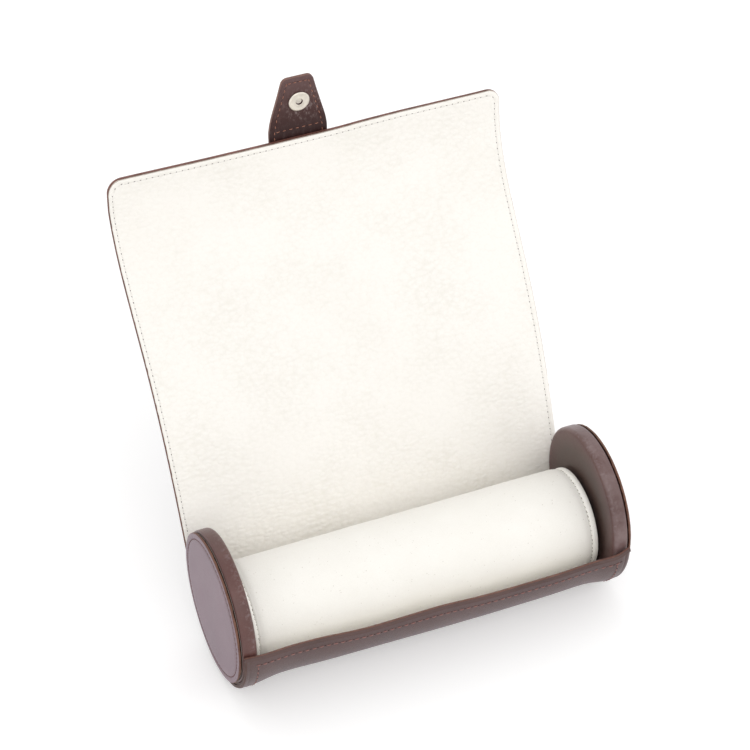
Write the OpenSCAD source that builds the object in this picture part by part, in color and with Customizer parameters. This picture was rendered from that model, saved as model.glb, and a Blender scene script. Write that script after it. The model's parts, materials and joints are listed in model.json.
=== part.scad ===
// Round travel case for watches: a leather roll with two stiff round ends, a fixed tray, a long
// wrap-round flap with a snap tab, and a removable round pillow that carries the watches.
//
// X runs along the roll, Y to the back and Z up. The origin is on the surface that the case lies
// on, halfway along and straight below the roll's axis. Angles round the roll start at the back
// and run over the top to the front. The flap and the tab are soft sheets: each is a chain of
// short rigid strips that turn about fold lines on the sheet's lined face.

/* [Round ends] */
// Length of the case over its two end faces
case_length = 209.3; // [185:0.1:240]
// Diameter of the stitched outer face
end_face_d = 76; // [70:1:80]
// Thickness of the stitched outer face
end_face_t = 2; // [1.2:0.1:3]
// Diameter of the covered rim
rim_d = 77; // [74:1:84]
// Width of the covered rim, from the inner face to the outer face's back
rim_w = 7.9; // [6:0.1:12]
// Thickness of the leather on the rim and the inner face
cover_t = 1.2; // [0.8:0.1:1.8]
// Rounding of the rim's inner edge
rim_edge_r = 2; // [1.4:0.1:3]

/* [Leather sheet] */
// Thickness of the outer leather
leather_t = 1.6; // [1:0.1:2]
// Thickness of the lining
lining_t = 1.4; // [1:0.1:2]
// Angle of the front lip round the roll
lip_angle = 181; // [170:1:200]
// Angle at which the flap leaves the tray
leave_angle = -25; // [-35:1:-15]
// How far the tray's sides stop short of the end faces
tray_setback = 0.25; // [0.1:0.05:1]

/* [Flap] */
// Length of one strip of the flap
strip_len = 16.8; // [16:0.1:18]
// How far each side of the flap lies inside the tray's side where it leaves
flap_inset = 0.4; // [0:0.1:3]
// How far each side of the flap flares out from there to the free edge
flap_flare = 2.6; // [0:0.1:4]
// Radius of the flap's free corners
flap_corner_r = 8; // [4:0.5:14]
// How much the opened flap sags back from the direction in which it leaves
flap_sag = 15; // [5:1:20]
// How much the free end of the opened flap curls forward again
flap_curl = 44; // [20:1:50]
// Gap between two strips on the lined face
fold_gap = 0.2; // [0.1:0.05:0.4]
// Slope of each strip's edge, which lets the flap bend backwards
fold_relief = 6.5; // [6.5:0.5:9]
// Clearance of the closed flap over the rims
wrap_clearance = 0.3; // [0.3:0.05:0.6]
// Clearance of the closed flap over the tray's leather
lap_clearance = 0.35; // [0.35:0.05:0.6]

/* [Tab] */
// Width of the tab where it is stitched to the flap
tab_w_root = 31; // [26:1:36]
// Width of the tab near its free end
tab_w_tip = 17.5; // [15:0.5:24]
// Outward bow of the tab's sides
tab_bow = 1; // [0:0.1:2]
// Length of the tab beyond the flap's edge
tab_len = 35; // [33:1:42]
// Length of the tab that is stitched on the flap
tab_lap = 12; // [8:1:15]
// How far the tab and its snap sit to the right of the middle
tab_offset = -2; // [-4:0.5:4]
// Radius of the tab's free corners
tab_corner_r = 4.5; // [2:0.5:6]
// Thickness of each of the tab's two leathers
tab_leather_t = 1.2; // [0.9:0.1:1.6]
// Distance from the flap's edge to the tab's first fold
tab_fold_offset = 0.8; // [0.8:0.1:1.5]
// Length of the tab's neck, between its two folds
tab_neck_len = 10.2; // [9:0.1:11]
// Direction of the neck with the flap open, from level
tab_neck_lean = 88; // [86:1:94]
// Direction of the tab's free end with the flap open, from level
tab_tip_lean = 92; // [88:1:98]

/* [Magnetic snap] */
// Diameter of the socket on the tab
socket_d = 11; // [10:0.5:12]
// Height of the socket above the tab
socket_t = 1; // [0.8:0.1:1.4]
// Diameter of the socket's hole
socket_hole_d = 3.4; // [3:0.1:4]
// Wall of the socket's metal cup
cup_wall = 0.4; // [0.3:0.05:0.5]
// Distance from the flap's edge to the snap's centre
snap_reach = 19; // [18:0.5:22]
// Diameter of the stud's base on the tray
stud_d = 10; // [8:0.5:11]
// Height of the stud's base above the leather, at its centre
stud_base_h = 0.6; // [0.5:0.1:0.8]
// Diameter of the stud's nub
nub_d = 2.8; // [2.2:0.1:2.8]
// Height of the nub above the stud's base
nub_h = 1; // [0.8:0.1:1.2]
// Diameter of the stud's rivet
rivet_d = 2; // [1.6:0.1:2.4]
// Gap between the socket and the stud's base when the snap is shut
snap_gap = 0.3; // [0.2:0.05:0.4]
// Diameter of the backing washers
washer_d = 8; // [7:0.5:9]
// Thickness of the backing washers
washer_t = 0.4; // [0.3:0.05:0.5]

/* [Pillow] */
// Diameter of the pillow
pillow_d = 55; // [46:1:58]
// Thickness of the pillow's cover
pillow_cover_t = 1.2; // [0.8:0.1:2]
// Gap between the pillow's open seams and each round end
pillow_end_gap = 2.2; // [1:0.1:6]
// Depth of the end discs inside the cover
pillow_recess = 3; // [1:0.5:6]
// Gap between the seated pillow and the tray's lining
pillow_gap = 0.3; // [0.2:0.1:0.5]

/* [Hidden] */
$fn = 96;
eps = 0.01;
STRIP_COUNT = 12;
STRIPS = [for (i = [1:STRIP_COUNT]) i];
function two_digits(i) = i < 10 ? str("0", i) : str(i);

// Colours
leather_brown = [0.36, 0.26, 0.25];
cover_brown = [0.33, 0.23, 0.22];
tab_brown = [0.28, 0.16, 0.16];
cream = [0.95, 0.94, 0.90];
nickel = [0.80, 0.78, 0.74];
board_grey = [0.55, 0.53, 0.50];
foam_yellow = [0.90, 0.86, 0.70];
steel_grey = [0.60, 0.61, 0.63];

// Round ends
rim_r = rim_d / 2;
face_back_x = case_length / 2 - end_face_t;
inner_face_x = face_back_x - rim_w;
core_r = rim_r - cover_t;

// Sheet and tray
sheet_t = leather_t + lining_t;
tray_r = rim_r + sheet_t;
tray_half = face_back_x - tray_setback;
axis_z = tray_r;
seam_r = rim_r + lining_t;

// Flap: a half strip stays with the tray, then the chain of strips follows
half_strip = strip_len / 2;
wrap_r = rim_r + wrap_clearance;
leave_dir = leave_angle + 90;
free_len = half_strip + STRIP_COUNT * strip_len;
function ease(t) = let (c = min(max(t, 0), 1)) c * c * (3 - 2 * c);
sag_share = 0.65;
curl_share = 0.32;
curl_power = 1.5;
first_lift = 1;
function flap_lean(t) = leave_dir + first_lift - flap_sag * ease(t / sag_share)
    + flap_curl * pow(max(0, (t - 1 + curl_share) / curl_share), curl_power);
function strip_lean(i) = flap_lean((i - 0.5) / STRIP_COUNT);
function along(a) = [0, cos(a), sin(a)];
root_start = wrap_r * along(leave_angle);
function fold_point(i) = i == 1
    ? root_start + half_strip * along(leave_dir)
    : fold_point(i - 1) + strip_len * along(strip_lean(i - 1));
flap_w_root = 2 * (tray_half - flap_inset);
flap_w_tip = flap_w_root + 2 * flap_flare;
function flap_width(run) = flap_w_root + 2 * flap_flare * run / free_len;

// Tab
tab_t = 2 * tab_leather_t;
tip_strip_lean = strip_lean(STRIP_COUNT);
outward = [0, sin(tip_strip_lean), -cos(tip_strip_lean)];
tab_fold_1 = fold_point(STRIP_COUNT + 1) + tab_fold_offset * along(tip_strip_lean) + sheet_t * outward;
tab_fold_2 = tab_fold_1 + tab_neck_len * along(tab_neck_lean);
tab_tip_len = tab_len - tab_fold_offset - tab_neck_len;
socket_run = snap_reach - tab_fold_offset - tab_neck_len;

// Closed flap: where the socket meets the tray, by the polygon that the strips make
over_tray_r = tray_r + lap_clearance;
rim_step = 2 * atan(half_strip / wrap_r);
rim_strips = floor((lip_angle - leave_angle - rim_step / 2) / rim_step);
tray_step = 2 * atan(half_strip / over_tray_r);
rim_corner_r = norm([wrap_r, half_strip]);
tray_corner_r = norm([over_tray_r, half_strip]);
function apex(a, b, c) = acos((a * a + b * b - c * c) / (2 * a * b));
lip_step = apex(rim_corner_r, tray_corner_r, strip_len);
flap_edge_angle = leave_angle + rim_step / 2 + rim_strips * rim_step + lip_step
    + (STRIP_COUNT - rim_strips - 1) * tray_step;
shut_face_r = tray_r + stud_base_h + snap_gap + socket_t;
fold_1_r = norm([over_tray_r + sheet_t, half_strip + tab_fold_offset]);
fold_1_angle = flap_edge_angle - tray_step / 2
    + atan((half_strip + tab_fold_offset) / (over_tray_r + sheet_t));
fold_2_r = norm([shut_face_r, socket_run]);
stud_angle = fold_1_angle + apex(fold_1_r, fold_2_r, tab_neck_len) + atan(socket_run / shut_face_r);

// Snap
stud_seat_r = sqrt(tray_r * tray_r - stud_d * stud_d / 4) - eps;
stud_top_r = tray_r + stud_base_h;
washer_top_r = sqrt(seam_r * seam_r - washer_d * washer_d / 4) - eps;
prong_d = 0.9;
prong_run = socket_d / 2 - cup_wall - prong_d / 2;
magnet_play = 0.1;
magnet_r = prong_run - prong_d / 2 - magnet_play;

// Pillow
pillow_r = pillow_d / 2;
pillow_z = axis_z - (rim_r - pillow_gap - pillow_r);
pillow_half = inner_face_x - pillow_end_gap;
pillow_disc_x = pillow_half - pillow_recess;

// ---- shared shapes ----

// Turns a profile drawn as [radius, x] about the roll's axis, from one angle to another.
module roll_sweep(from_angle, to_angle) {
    translate([0, 0, axis_z])
        rotate([0, 90, 0])
            rotate([0, 0, from_angle - 270])
                rotate_extrude(angle = to_angle - from_angle)
                    children();
}

// Turns a full ring or disc, drawn as [radius, x], about an axis along X at a height.
module turned(z = axis_z) {
    translate([0, 0, z])
        rotate([0, 90, 0])
            rotate_extrude()
                children();
}

// Mirrors what is drawn for the right end to the left end.
module left() {
    mirror([1, 0, 0])
        children();
}

// Profile of a disc from x0 to x1 whose corner at x0 is rounded.
module disc_profile(r, x0, x1, edge_r) {
    polygon(concat(
        [[0, x0]],
        [for (a = [-90:15:0]) [r - edge_r + edge_r * cos(a), x0 + edge_r + edge_r * sin(a)]],
        [[r, x1], [0, x1]]
    ));
}

// Puts a strip drawn along +Y, with its lined face at z = 0, on a fold line.
module on_fold(point, lean) {
    translate([0, point[1], axis_z + point[2]])
        rotate([lean, 0, 0])
            children();
}

// Side section of one layer of a strip: depths count down from the lined face, and both edges
// slope, so that the strip clears its neighbours when the sheet bends backwards.
module layer_section(len, top, bottom, half_width) {
    slope = tan(fold_relief);
    edge = fold_gap / 2;
    rotate([90, 0, 90])
        linear_extrude(height = 2 * half_width, center = true)
            polygon([
                [edge + top * slope, -top],
                [len - edge - top * slope, -top],
                [len - edge - bottom * slope, -bottom],
                [edge + bottom * slope, -bottom]
            ]);
}

// ---- round ends ----

module end_core() {
    color(board_grey)
        turned()
            disc_profile(core_r, inner_face_x + cover_t, face_back_x, rim_edge_r - cover_t);
}

module end_cover() {
    color(cover_brown)
        turned()
            difference() {
                disc_profile(rim_r, inner_face_x, face_back_x, rim_edge_r);
                disc_profile(core_r, inner_face_x + cover_t, face_back_x + 1, rim_edge_r - cover_t);
            }
}

module end_face() {
    edge = end_face_t / 4;
    face_r = end_face_d / 2;
    color(leather_brown)
        turned()
            polygon(concat(
                [[0, face_back_x], [face_r, face_back_x]],
                [for (a = [0:30:90]) [face_r - edge + edge * cos(a), case_length / 2 - edge + edge * sin(a)]],
                [[0, case_length / 2]]
            ));
}

// ---- tray ----

// One layer of the tray's sheet, with the half strip where the flap leaves.
module tray_layer(r0, r1) {
    roll_sweep(lip_angle, 360 + leave_angle)
        polygon([[r0, -tray_half], [r1, -tray_half], [r1, tray_half], [r0, tray_half]]);
    top = r0 - rim_r;
    bottom = r1 - rim_r;
    slope = tan(fold_relief);
    on_fold(root_start, leave_dir)
        translate([0, 0, wrap_clearance])
            rotate([90, 0, 90])
                linear_extrude(height = flap_w_root, center = true)
                    polygon([
                        [-1, -top],
                        [half_strip - fold_gap / 2 - top * slope, -top],
                        [half_strip - fold_gap / 2 - bottom * slope, -bottom],
                        [-1, -bottom]
                    ]);
}

// The outer leather is turned over the lining's edge at the lip and makes a half-round bead.
module turned_lip() {
    translate([0, 0, axis_z])
        rotate([lip_angle, 0, 0])
            translate([0, rim_r + sheet_t / 2, 0])
                intersection() {
                    rotate([0, 90, 0])
                        cylinder(d = sheet_t, h = 2 * tray_half, center = true);
                    translate([-tray_half, -sheet_t, -sheet_t])
                        cube([2 * tray_half, 2 * sheet_t, sheet_t]);
                }
}

// Places what is drawn along +Z, from the roll's axis, at the stud.
module at_stud() {
    translate([tab_offset, 0, axis_z])
        rotate([stud_angle - 90, 0, 0])
            children();
}

module tray_leather() {
    color(leather_brown)
        difference() {
            union() {
                tray_layer(seam_r, tray_r);
                turned_lip();
            }
            at_stud() {
                translate([0, 0, stud_seat_r])
                    cylinder(d = stud_d, h = leather_t);
                translate([0, 0, seam_r - leather_t])
                    cylinder(d = rivet_d, h = 2 * leather_t);
            }
        }
}

module tray_lining() {
    color(cream)
        difference() {
            tray_layer(rim_r, seam_r);
            at_stud()
                translate([0, 0, washer_top_r - washer_t])
                    cylinder(d = washer_d, h = lining_t);
        }
}

module snap_stud() {
    base_t = stud_top_r - stud_seat_r;
    bevel = base_t / 3;
    nub_r = nub_d / 2;
    nub_shoulder = 0.6 * nub_h;
    nub_top_r = 0.7 * nub_r;
    color(nickel)
        at_stud() {
            translate([0, 0, stud_seat_r])
                rotate_extrude()
                    polygon([
                        [0, 0],
                        [stud_d / 2, 0],
                        [stud_d / 2, base_t - bevel],
                        [stud_d / 2 - bevel, base_t],
                        [nub_r, base_t],
                        [nub_r, base_t + nub_shoulder],
                        [nub_top_r, base_t + nub_h],
                        [0, base_t + nub_h]
                    ]);
            translate([0, 0, washer_top_r - washer_t])
                cylinder(d = rivet_d, h = stud_seat_r - washer_top_r + washer_t + eps);
        }
}

module stud_washer() {
    color(steel_grey)
        at_stud()
            translate([0, 0, washer_top_r - washer_t])
                difference() {
                    cylinder(d = washer_d, h = washer_t);
                    translate([0, 0, -1])
                        cylinder(d = rivet_d, h = washer_t + 2);
                }
}

// ---- flap ----

// Outline of strip i as [x, distance from its fold line].
module strip_plan(i) {
    run = half_strip + (i - 1) * strip_len;
    w0 = flap_width(run) / 2;
    w1 = flap_width(run + strip_len) / 2;
    if (i < STRIP_COUNT) {
        polygon([[-w0, -1], [w0, -1], [w1, strip_len + 1], [-w1, strip_len + 1]]);
    } else {
        r = flap_corner_r;
        polygon([
            [-w0, -1], [w0, -1], [w1, strip_len - r], [w1 - r, strip_len],
            [r - w1, strip_len], [-w1, strip_len - r]
        ]);
        for (side = [-1, 1])
            translate([side * (w1 - r), strip_len - r])
                circle(r = r);
    }
}

// One layer of strip i; the free edge of the last strip is square.
module flap_layer(i, top, bottom) {
    len = i < STRIP_COUNT ? strip_len : strip_len + 2 * fold_gap + sheet_t;
    on_fold(fold_point(i), strip_lean(i))
        intersection() {
            layer_section(len, top, bottom, flap_w_tip);
            translate([0, 0, -2 * sheet_t])
                linear_extrude(height = 3 * sheet_t)
                    strip_plan(i);
        }
}

module flap_leather(i) {
    color(leather_brown)
        flap_layer(i, lining_t, sheet_t);
}

module flap_lining(i) {
    color(cream)
        flap_layer(i, 0, lining_t);
}

// ---- tab ----

// Half width of the tab at a distance beyond the flap's edge.
function tab_half(run) = let (t = min(max(run / tab_len, 0), 1))
    (tab_w_root + (tab_w_tip - tab_w_root) * t) / 2 + tab_bow * sin(180 * t);

// Right side of the tab's outline, from the stitched end to the rounded free corner.
function tab_side() = concat(
    [[tab_w_root / 2, -tab_lap]],
    [for (k = [0:6]) let (run = k * (tab_len - tab_corner_r) / 6) [tab_half(run), run]],
    [for (a = [15:15:90]) let (x = tab_half(tab_len - tab_corner_r) - tab_corner_r)
        [x + tab_corner_r * cos(a), tab_len - tab_corner_r + tab_corner_r * sin(a)]]
);

// Whole outline; the distance counts from the flap's edge.
module tab_plan() {
    side = tab_side();
    count = len(side);
    polygon(concat(side, [for (k = [1:count]) [-side[count - k][0], side[count - k][1]]]));
}

// One layer of a stretch of the tab, drawn along +Y from its fold at the given run.
module tab_layer(run, len, top, bottom) {
    translate([tab_offset, 0, 0])
        intersection() {
            layer_section(len, top, bottom, tab_w_root);
            translate([0, -run, -2 * tab_t])
                linear_extrude(height = 3 * tab_t)
                    tab_plan();
        }
}

// The stitched end lies on the outer face of the last strip.
module tab_root_layer(top, bottom) {
    on_fold(fold_point(STRIP_COUNT), tip_strip_lean)
        translate([0, strip_len - tab_lap, -sheet_t])
            tab_layer(-tab_lap, tab_lap + tab_fold_offset, top, bottom);
}

module tab_neck_layer(top, bottom) {
    on_fold(tab_fold_1, tab_neck_lean)
        tab_layer(tab_fold_offset, tab_neck_len, top, bottom);
}

module tab_tip_layer(top, bottom) {
    on_fold(tab_fold_2, tab_tip_lean)
        tab_layer(tab_len - tab_tip_len, tab_tip_len + 1, top, bottom);
}

module tab_outer_root() {
    color(tab_brown)
        tab_root_layer(tab_leather_t, tab_t);
}

module tab_inner_root() {
    color(tab_brown)
        tab_root_layer(0, tab_leather_t);
}

module tab_outer_neck() {
    color(tab_brown)
        tab_neck_layer(tab_leather_t, tab_t);
}

module tab_inner_neck() {
    color(tab_brown)
        tab_neck_layer(0, tab_leather_t);
}

// Places what is drawn along +Z, up from the tab's lined face, at the socket.
module at_socket() {
    on_fold(tab_fold_2, tab_tip_lean)
        translate([tab_offset, socket_run, 0])
            children();
}

// The two prongs that hold the socket on the tab.
module prongs(from_z, height) {
    for (side = [-1, 1])
        translate([side * prong_run, 0, from_z])
            cylinder(d = prong_d, h = height);
}

module tab_outer_tip() {
    color(tab_brown)
        difference() {
            tab_tip_layer(tab_leather_t, tab_t);
            at_socket()
                translate([0, 0, -tab_leather_t - washer_t])
                    cylinder(d = socket_d, h = washer_t + eps);
        }
}

module tab_inner_tip() {
    color(tab_brown)
        difference() {
            tab_tip_layer(0, tab_leather_t);
            at_socket()
                prongs(-tab_t, 2 * tab_t);
        }
}

module snap_socket() {
    hole_r = socket_hole_d / 2;
    cup_r = socket_d / 2;
    color(nickel)
        at_socket() {
            rotate_extrude()
                polygon([
                    [hole_r, socket_t - cup_wall],
                    [hole_r, socket_t - cup_wall / 2],
                    [hole_r + cup_wall, socket_t],
                    [cup_r - cup_wall, socket_t],
                    [cup_r, socket_t - cup_wall],
                    [cup_r, 0],
                    [cup_r - cup_wall - prong_d / 2, 0],
                    [cup_r - cup_wall - prong_d / 2, socket_t - cup_wall]
                ]);
            prongs(-tab_leather_t - washer_t, tab_leather_t + washer_t + eps);
        }
}

module socket_magnet() {
    color(steel_grey)
        at_socket()
            difference() {
                cylinder(r = magnet_r, h = socket_t - cup_wall);
                translate([0, 0, -1])
                    cylinder(d = socket_hole_d + 4 * magnet_play, h = socket_t + 2);
            }
}

module socket_washer() {
    color(steel_grey)
        at_socket()
            difference() {
                translate([0, 0, -tab_leather_t - washer_t])
                    cylinder(d = socket_d, h = washer_t);
                prongs(-tab_t, 2 * tab_t);
            }
}

// ---- pillow ----

module pillow_core() {
    core_half = pillow_disc_x - pillow_cover_t;
    color(foam_yellow)
        turned(pillow_z)
            polygon([
                [0, -core_half],
                [pillow_r - pillow_cover_t, -core_half],
                [pillow_r - pillow_cover_t, core_half],
                [0, core_half]
            ]);
}

// The cover's tube stands out past the end discs as an open seam with a rounded edge.
module pillow_cover() {
    inner = pillow_r - pillow_cover_t;
    end_x = pillow_half;
    round_r = pillow_cover_t / 2;
    color(cream)
        turned(pillow_z)
            polygon(concat(
                [for (a = [0:30:180]) [inner + round_r + round_r * cos(a), end_x - round_r + round_r * sin(a)]],
                [for (a = [0:30:180]) [inner + round_r - round_r * cos(a), round_r - end_x - round_r * sin(a)]]
            ));
}

module pillow_end() {
    color(cream)
        turned(pillow_z)
            polygon([
                [0, pillow_disc_x - pillow_cover_t],
                [pillow_r - pillow_cover_t, pillow_disc_x - pillow_cover_t],
                [pillow_r - pillow_cover_t, pillow_disc_x],
                [0, pillow_disc_x]
            ]);
}

// ---- assembly ----

left() end_core();  // left_end_core
left() end_cover();  // left_end_cover
left() end_face();  // left_end_face
end_core();  // right_end_core
end_cover();  // right_end_cover
end_face();  // right_end_face
tray_leather();
tray_lining();
snap_stud();
stud_washer();
for (i = STRIPS) {
    flap_leather(i);
    flap_lining(i);
}
tab_outer_root();
tab_inner_root();
tab_outer_neck();
tab_inner_neck();
tab_outer_tip();
tab_inner_tip();
snap_socket();
socket_magnet();
socket_washer();
pillow_core();
pillow_cover();
left() pillow_end();  // pillow_left_end
pillow_end();  // pillow_right_end
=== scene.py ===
"""Looks of a leather travel roll for watches: round ends, a wrapping sheet, a tab and a soft pillow."""

import json
import logging
import math
from contextlib import contextmanager
from dataclasses import dataclass
from enum import Enum
from functools import cache
from typing import Callable, Iterator, Optional, Sequence

import bpy
import numpy as np
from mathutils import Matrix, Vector, noise

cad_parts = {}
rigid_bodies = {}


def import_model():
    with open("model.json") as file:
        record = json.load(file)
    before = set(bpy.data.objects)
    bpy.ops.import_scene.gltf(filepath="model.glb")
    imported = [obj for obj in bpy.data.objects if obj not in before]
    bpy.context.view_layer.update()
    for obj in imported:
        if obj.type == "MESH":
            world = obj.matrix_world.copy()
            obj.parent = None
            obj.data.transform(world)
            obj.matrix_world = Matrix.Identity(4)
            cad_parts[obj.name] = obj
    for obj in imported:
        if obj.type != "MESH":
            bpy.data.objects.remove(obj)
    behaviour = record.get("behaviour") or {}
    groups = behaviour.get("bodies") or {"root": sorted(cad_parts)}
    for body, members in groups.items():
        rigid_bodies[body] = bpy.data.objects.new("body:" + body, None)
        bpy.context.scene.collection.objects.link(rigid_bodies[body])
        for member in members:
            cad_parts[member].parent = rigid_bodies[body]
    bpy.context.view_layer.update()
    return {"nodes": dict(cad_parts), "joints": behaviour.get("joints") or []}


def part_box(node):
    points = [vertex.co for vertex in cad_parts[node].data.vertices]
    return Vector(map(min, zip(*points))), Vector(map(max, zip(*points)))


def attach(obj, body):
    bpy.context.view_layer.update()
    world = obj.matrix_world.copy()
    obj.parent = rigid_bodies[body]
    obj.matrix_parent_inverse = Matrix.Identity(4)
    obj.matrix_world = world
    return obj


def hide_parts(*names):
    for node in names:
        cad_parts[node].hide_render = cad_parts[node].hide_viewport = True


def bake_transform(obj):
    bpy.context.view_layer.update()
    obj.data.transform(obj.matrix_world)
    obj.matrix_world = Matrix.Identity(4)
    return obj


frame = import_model()
LOG = logging.getLogger("watch_roll")

MM = 0.001
TINY = 0.001 * MM
Array = np.ndarray
Piece = bpy.types.Object
Material = bpy.types.Material
Socket = bpy.types.NodeSocket
Triple = tuple[float, float, float]
Pairs = Sequence[tuple[float, float]]


class Side(Enum):
    """The two ends of the roll."""

    LEFT = -1
    RIGHT = 1

    @property
    def word(self) -> str:
        """Name used in the pieces of this end."""
        return self.name.lower()


class Body(Enum):
    """Bodies that pieces ride on, besides the flap's strips."""

    CASE = "case"
    NECK = "tab_neck"
    TIP = "tab_tip"
    PILLOW = "pillow"


def strip_body(k: int) -> str:
    """Name of the flap's strip k, or of the case for 0."""
    return f"flap_{k:02d}" if k else Body.CASE.value


# ------------ curves and tables


def soft(t: Array) -> Array:
    """Eases shares from 0 to 1, level at both ends."""
    return t * t * (3 - 2 * t)


def fade(gap: Array, reach: float) -> Array:
    """Falls evenly from 1 at an edge to 0 at some reach from it."""
    return np.clip(1 - gap / reach, 0, 1)


def ridge(gap: Array, middle: Array, width: float) -> Array:
    """A bell of height 1 at one distance from an edge."""
    return np.exp(-(((gap - middle) / width) ** 2))


def eased(x: Array, table: Pairs) -> Array:
    """Reads a table of places and lengths in millimetres smoothly, at places in metres, and gives metres."""
    places, values = zip(*table)
    return sum(np.interp(x / MM + shift, places, values) for shift in (-3, -1.5, 0, 1.5, 3)) / 5 * MM


def corner_cut(left: Array, radius: float) -> Array:
    """What a rounded corner takes off a half width, by the lengths left to the end of the piece."""
    left = np.clip(left, 0, radius)
    return radius - np.sqrt(np.clip(radius**2 - (radius - left) ** 2, 0, None))


def corner_gap(side: Array, left: Array, radius: float) -> Array:
    """Distance inside an outline with rounded corners, from the distances to its side and its end."""
    rounded = (side < radius) & (left < radius)
    return np.where(rounded, radius - np.hypot(radius - side, radius - left), np.minimum(side, left))


def offsets(radius: float, x: float, rows: Pairs) -> list[tuple[float, float]]:
    """Points (radius, x) of a turned profile, whose rows in millimetres start at one of its corners."""
    return [(radius + out * MM, x + ahead * MM) for out, ahead in rows]


def ring(count: int) -> tuple[Array, Array, Array]:
    """Even places round the roll.

    Args:
        count: How many.

    Returns:
        Their angles, outward directions and forward directions.
    """
    angles = np.arange(count) * 2 * math.pi / count
    zero = np.zeros(count)
    outward = np.column_stack([zero, np.cos(angles), np.sin(angles)])
    return angles, outward, np.column_stack([zero, -np.sin(angles), np.cos(angles)])


# ------------ bench work


class Bench:
    """Hand work on one mesh at a time."""

    @staticmethod
    def clear() -> None:
        """Deselects everything."""
        for obj in bpy.context.view_layer.objects:
            obj.select_set(False)

    @staticmethod
    def take(obj: Piece) -> None:
        """Makes one piece the only selected one and the active one.

        Args:
            obj: The piece to work on.
        """
        Bench.clear()
        obj.select_set(True)
        bpy.context.view_layer.objects.active = obj

    @staticmethod
    @contextmanager
    def editing(obj: Piece) -> Iterator[None]:
        """Opens a piece with all of it selected, and closes it afterwards.

        Args:
            obj: The piece.

        Yields:
            Nothing, while the piece is open.
        """
        Bench.take(obj)
        bpy.ops.object.mode_set(mode="EDIT")
        bpy.ops.mesh.select_all(action="SELECT")
        yield
        bpy.ops.object.mode_set(mode="OBJECT")

    @staticmethod
    def add(name: str, primitive: Callable, **sizes: object) -> Piece:
        """Adds a primitive while nothing else is selected.

        Args:
            name: The piece's name.
            primitive: The operator that adds it.
            sizes: The operator's own values.

        Returns:
            The new piece.
        """
        Bench.clear()
        primitive(**sizes)
        obj = bpy.context.active_object
        obj.name = name
        obj.data.name = name
        return obj

    @staticmethod
    def slab(name: str, across: int, along: int) -> Piece:
        """A sheet of cells from -0.5 to 0.5 both ways, given a thickness from 0 to 1.

        Args:
            name: The piece's name.
            across: Cells across.
            along: Cells along.

        Returns:
            The sheet, still in plain numbers, ready to be shaped.
        """
        grid = bpy.ops.mesh.primitive_grid_add
        obj = Bench.add(name, grid, x_subdivisions=across, y_subdivisions=along, size=1)
        while obj.data.uv_layers:
            obj.data.uv_layers.remove(obj.data.uv_layers[0])
        with Bench.editing(obj):
            bpy.ops.mesh.extrude_region_move(TRANSFORM_OT_translate={"value": (0, 0, 1)})
        Bench.face_out(obj)
        return obj

    @staticmethod
    def lathe(name: str, profile: Pairs, centre_z: float, steps: int = 128) -> Piece:
        """Turns a profile about an axis along X.

        Args:
            name: The piece's name.
            profile: Points as (radius, x), in metres, from one end to the other.
            centre_z: Height of the axis.
            steps: Steps in the full turn.

        Returns:
            The turned piece, closed and facing outwards.
        """
        obj = Bench.add(name, bpy.ops.mesh.primitive_plane_add, size=1)
        with Bench.editing(obj):
            bpy.ops.mesh.delete(type="VERT")
        mesh = obj.data
        mesh.vertices.add(len(profile))
        for vertex, (radius, x) in zip(mesh.vertices, profile):
            vertex.co = (x, 0, centre_z + radius)
        mesh.edges.add(len(profile) - 1)
        for i, edge in enumerate(mesh.edges):
            edge.vertices = (i, i + 1)
        mesh.update()
        with Bench.editing(obj):
            bpy.ops.mesh.spin(steps=steps, angle=2 * math.pi, center=(0, 0, centre_z), axis=(1, 0, 0))
            bpy.ops.mesh.select_all(action="SELECT")
            bpy.ops.mesh.remove_doubles(threshold=TINY)
        Bench.face_out(obj)
        return obj

    @staticmethod
    def points(obj: Piece) -> Array:
        """All vertices of a piece.

        Args:
            obj: The piece.

        Returns:
            One row of x, y, z for each vertex.
        """
        co = np.empty(len(obj.data.vertices) * 3, float)
        obj.data.vertices.foreach_get("co", co)
        return co.reshape(-1, 3)

    @staticmethod
    def read(obj: Piece, across: Array, along: Array) -> tuple[Array, Array, Array]:
        """Reads where a slab's vertices lie in two rising tables of places.

        Args:
            obj: The slab.
            across: Places across.
            along: Places along.

        Returns:
            Each vertex's place across and along, and its face: 0 or 1.
        """
        plain = Bench.points(obj)
        shares = ((plain[:, 0], across), (plain[:, 1], along))
        x, run = (np.interp(share + 0.5, np.linspace(0, 1, len(table)), table) for share, table in shares)
        return x, run, plain[:, 2]

    @staticmethod
    def map_flat(obj: Piece, name: str, across: Array, along: Array) -> None:
        """Gives a piece the map of its flat pattern, in metres.

        Args:
            obj: The piece.
            name: The map's name.
            across: Each vertex's place across.
            along: Each vertex's place along.
        """
        mesh = obj.data
        layer = mesh.uv_layers.new(name=name)
        loops = np.empty(len(mesh.loops), int)
        mesh.loops.foreach_get("vertex_index", loops)
        layer.data.foreach_set("uv", np.column_stack([across, along])[loops].astype(np.float32).ravel())

    @staticmethod
    def put(obj: Piece, co: Array) -> None:
        """Moves all vertices of a piece to rows of x, y, z."""
        obj.data.vertices.foreach_set("co", np.ascontiguousarray(co, dtype=np.float32).ravel())
        obj.data.update()

    @staticmethod
    def paint(obj: Piece, *materials: Material) -> None:
        """Adds materials to a piece."""
        for material in materials:
            obj.data.materials.append(material)

    @staticmethod
    def face_out(obj: Piece) -> None:
        """Turns all faces of a closed piece outwards."""
        with Bench.editing(obj):
            bpy.ops.mesh.normals_make_consistent(inside=False)

    @staticmethod
    def smooth(obj: Piece, degrees: float) -> None:
        """Smooth shading that keeps edges sharper than an angle."""
        Bench.take(obj)
        bpy.ops.object.shade_smooth_by_angle(angle=math.radians(degrees))

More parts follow.
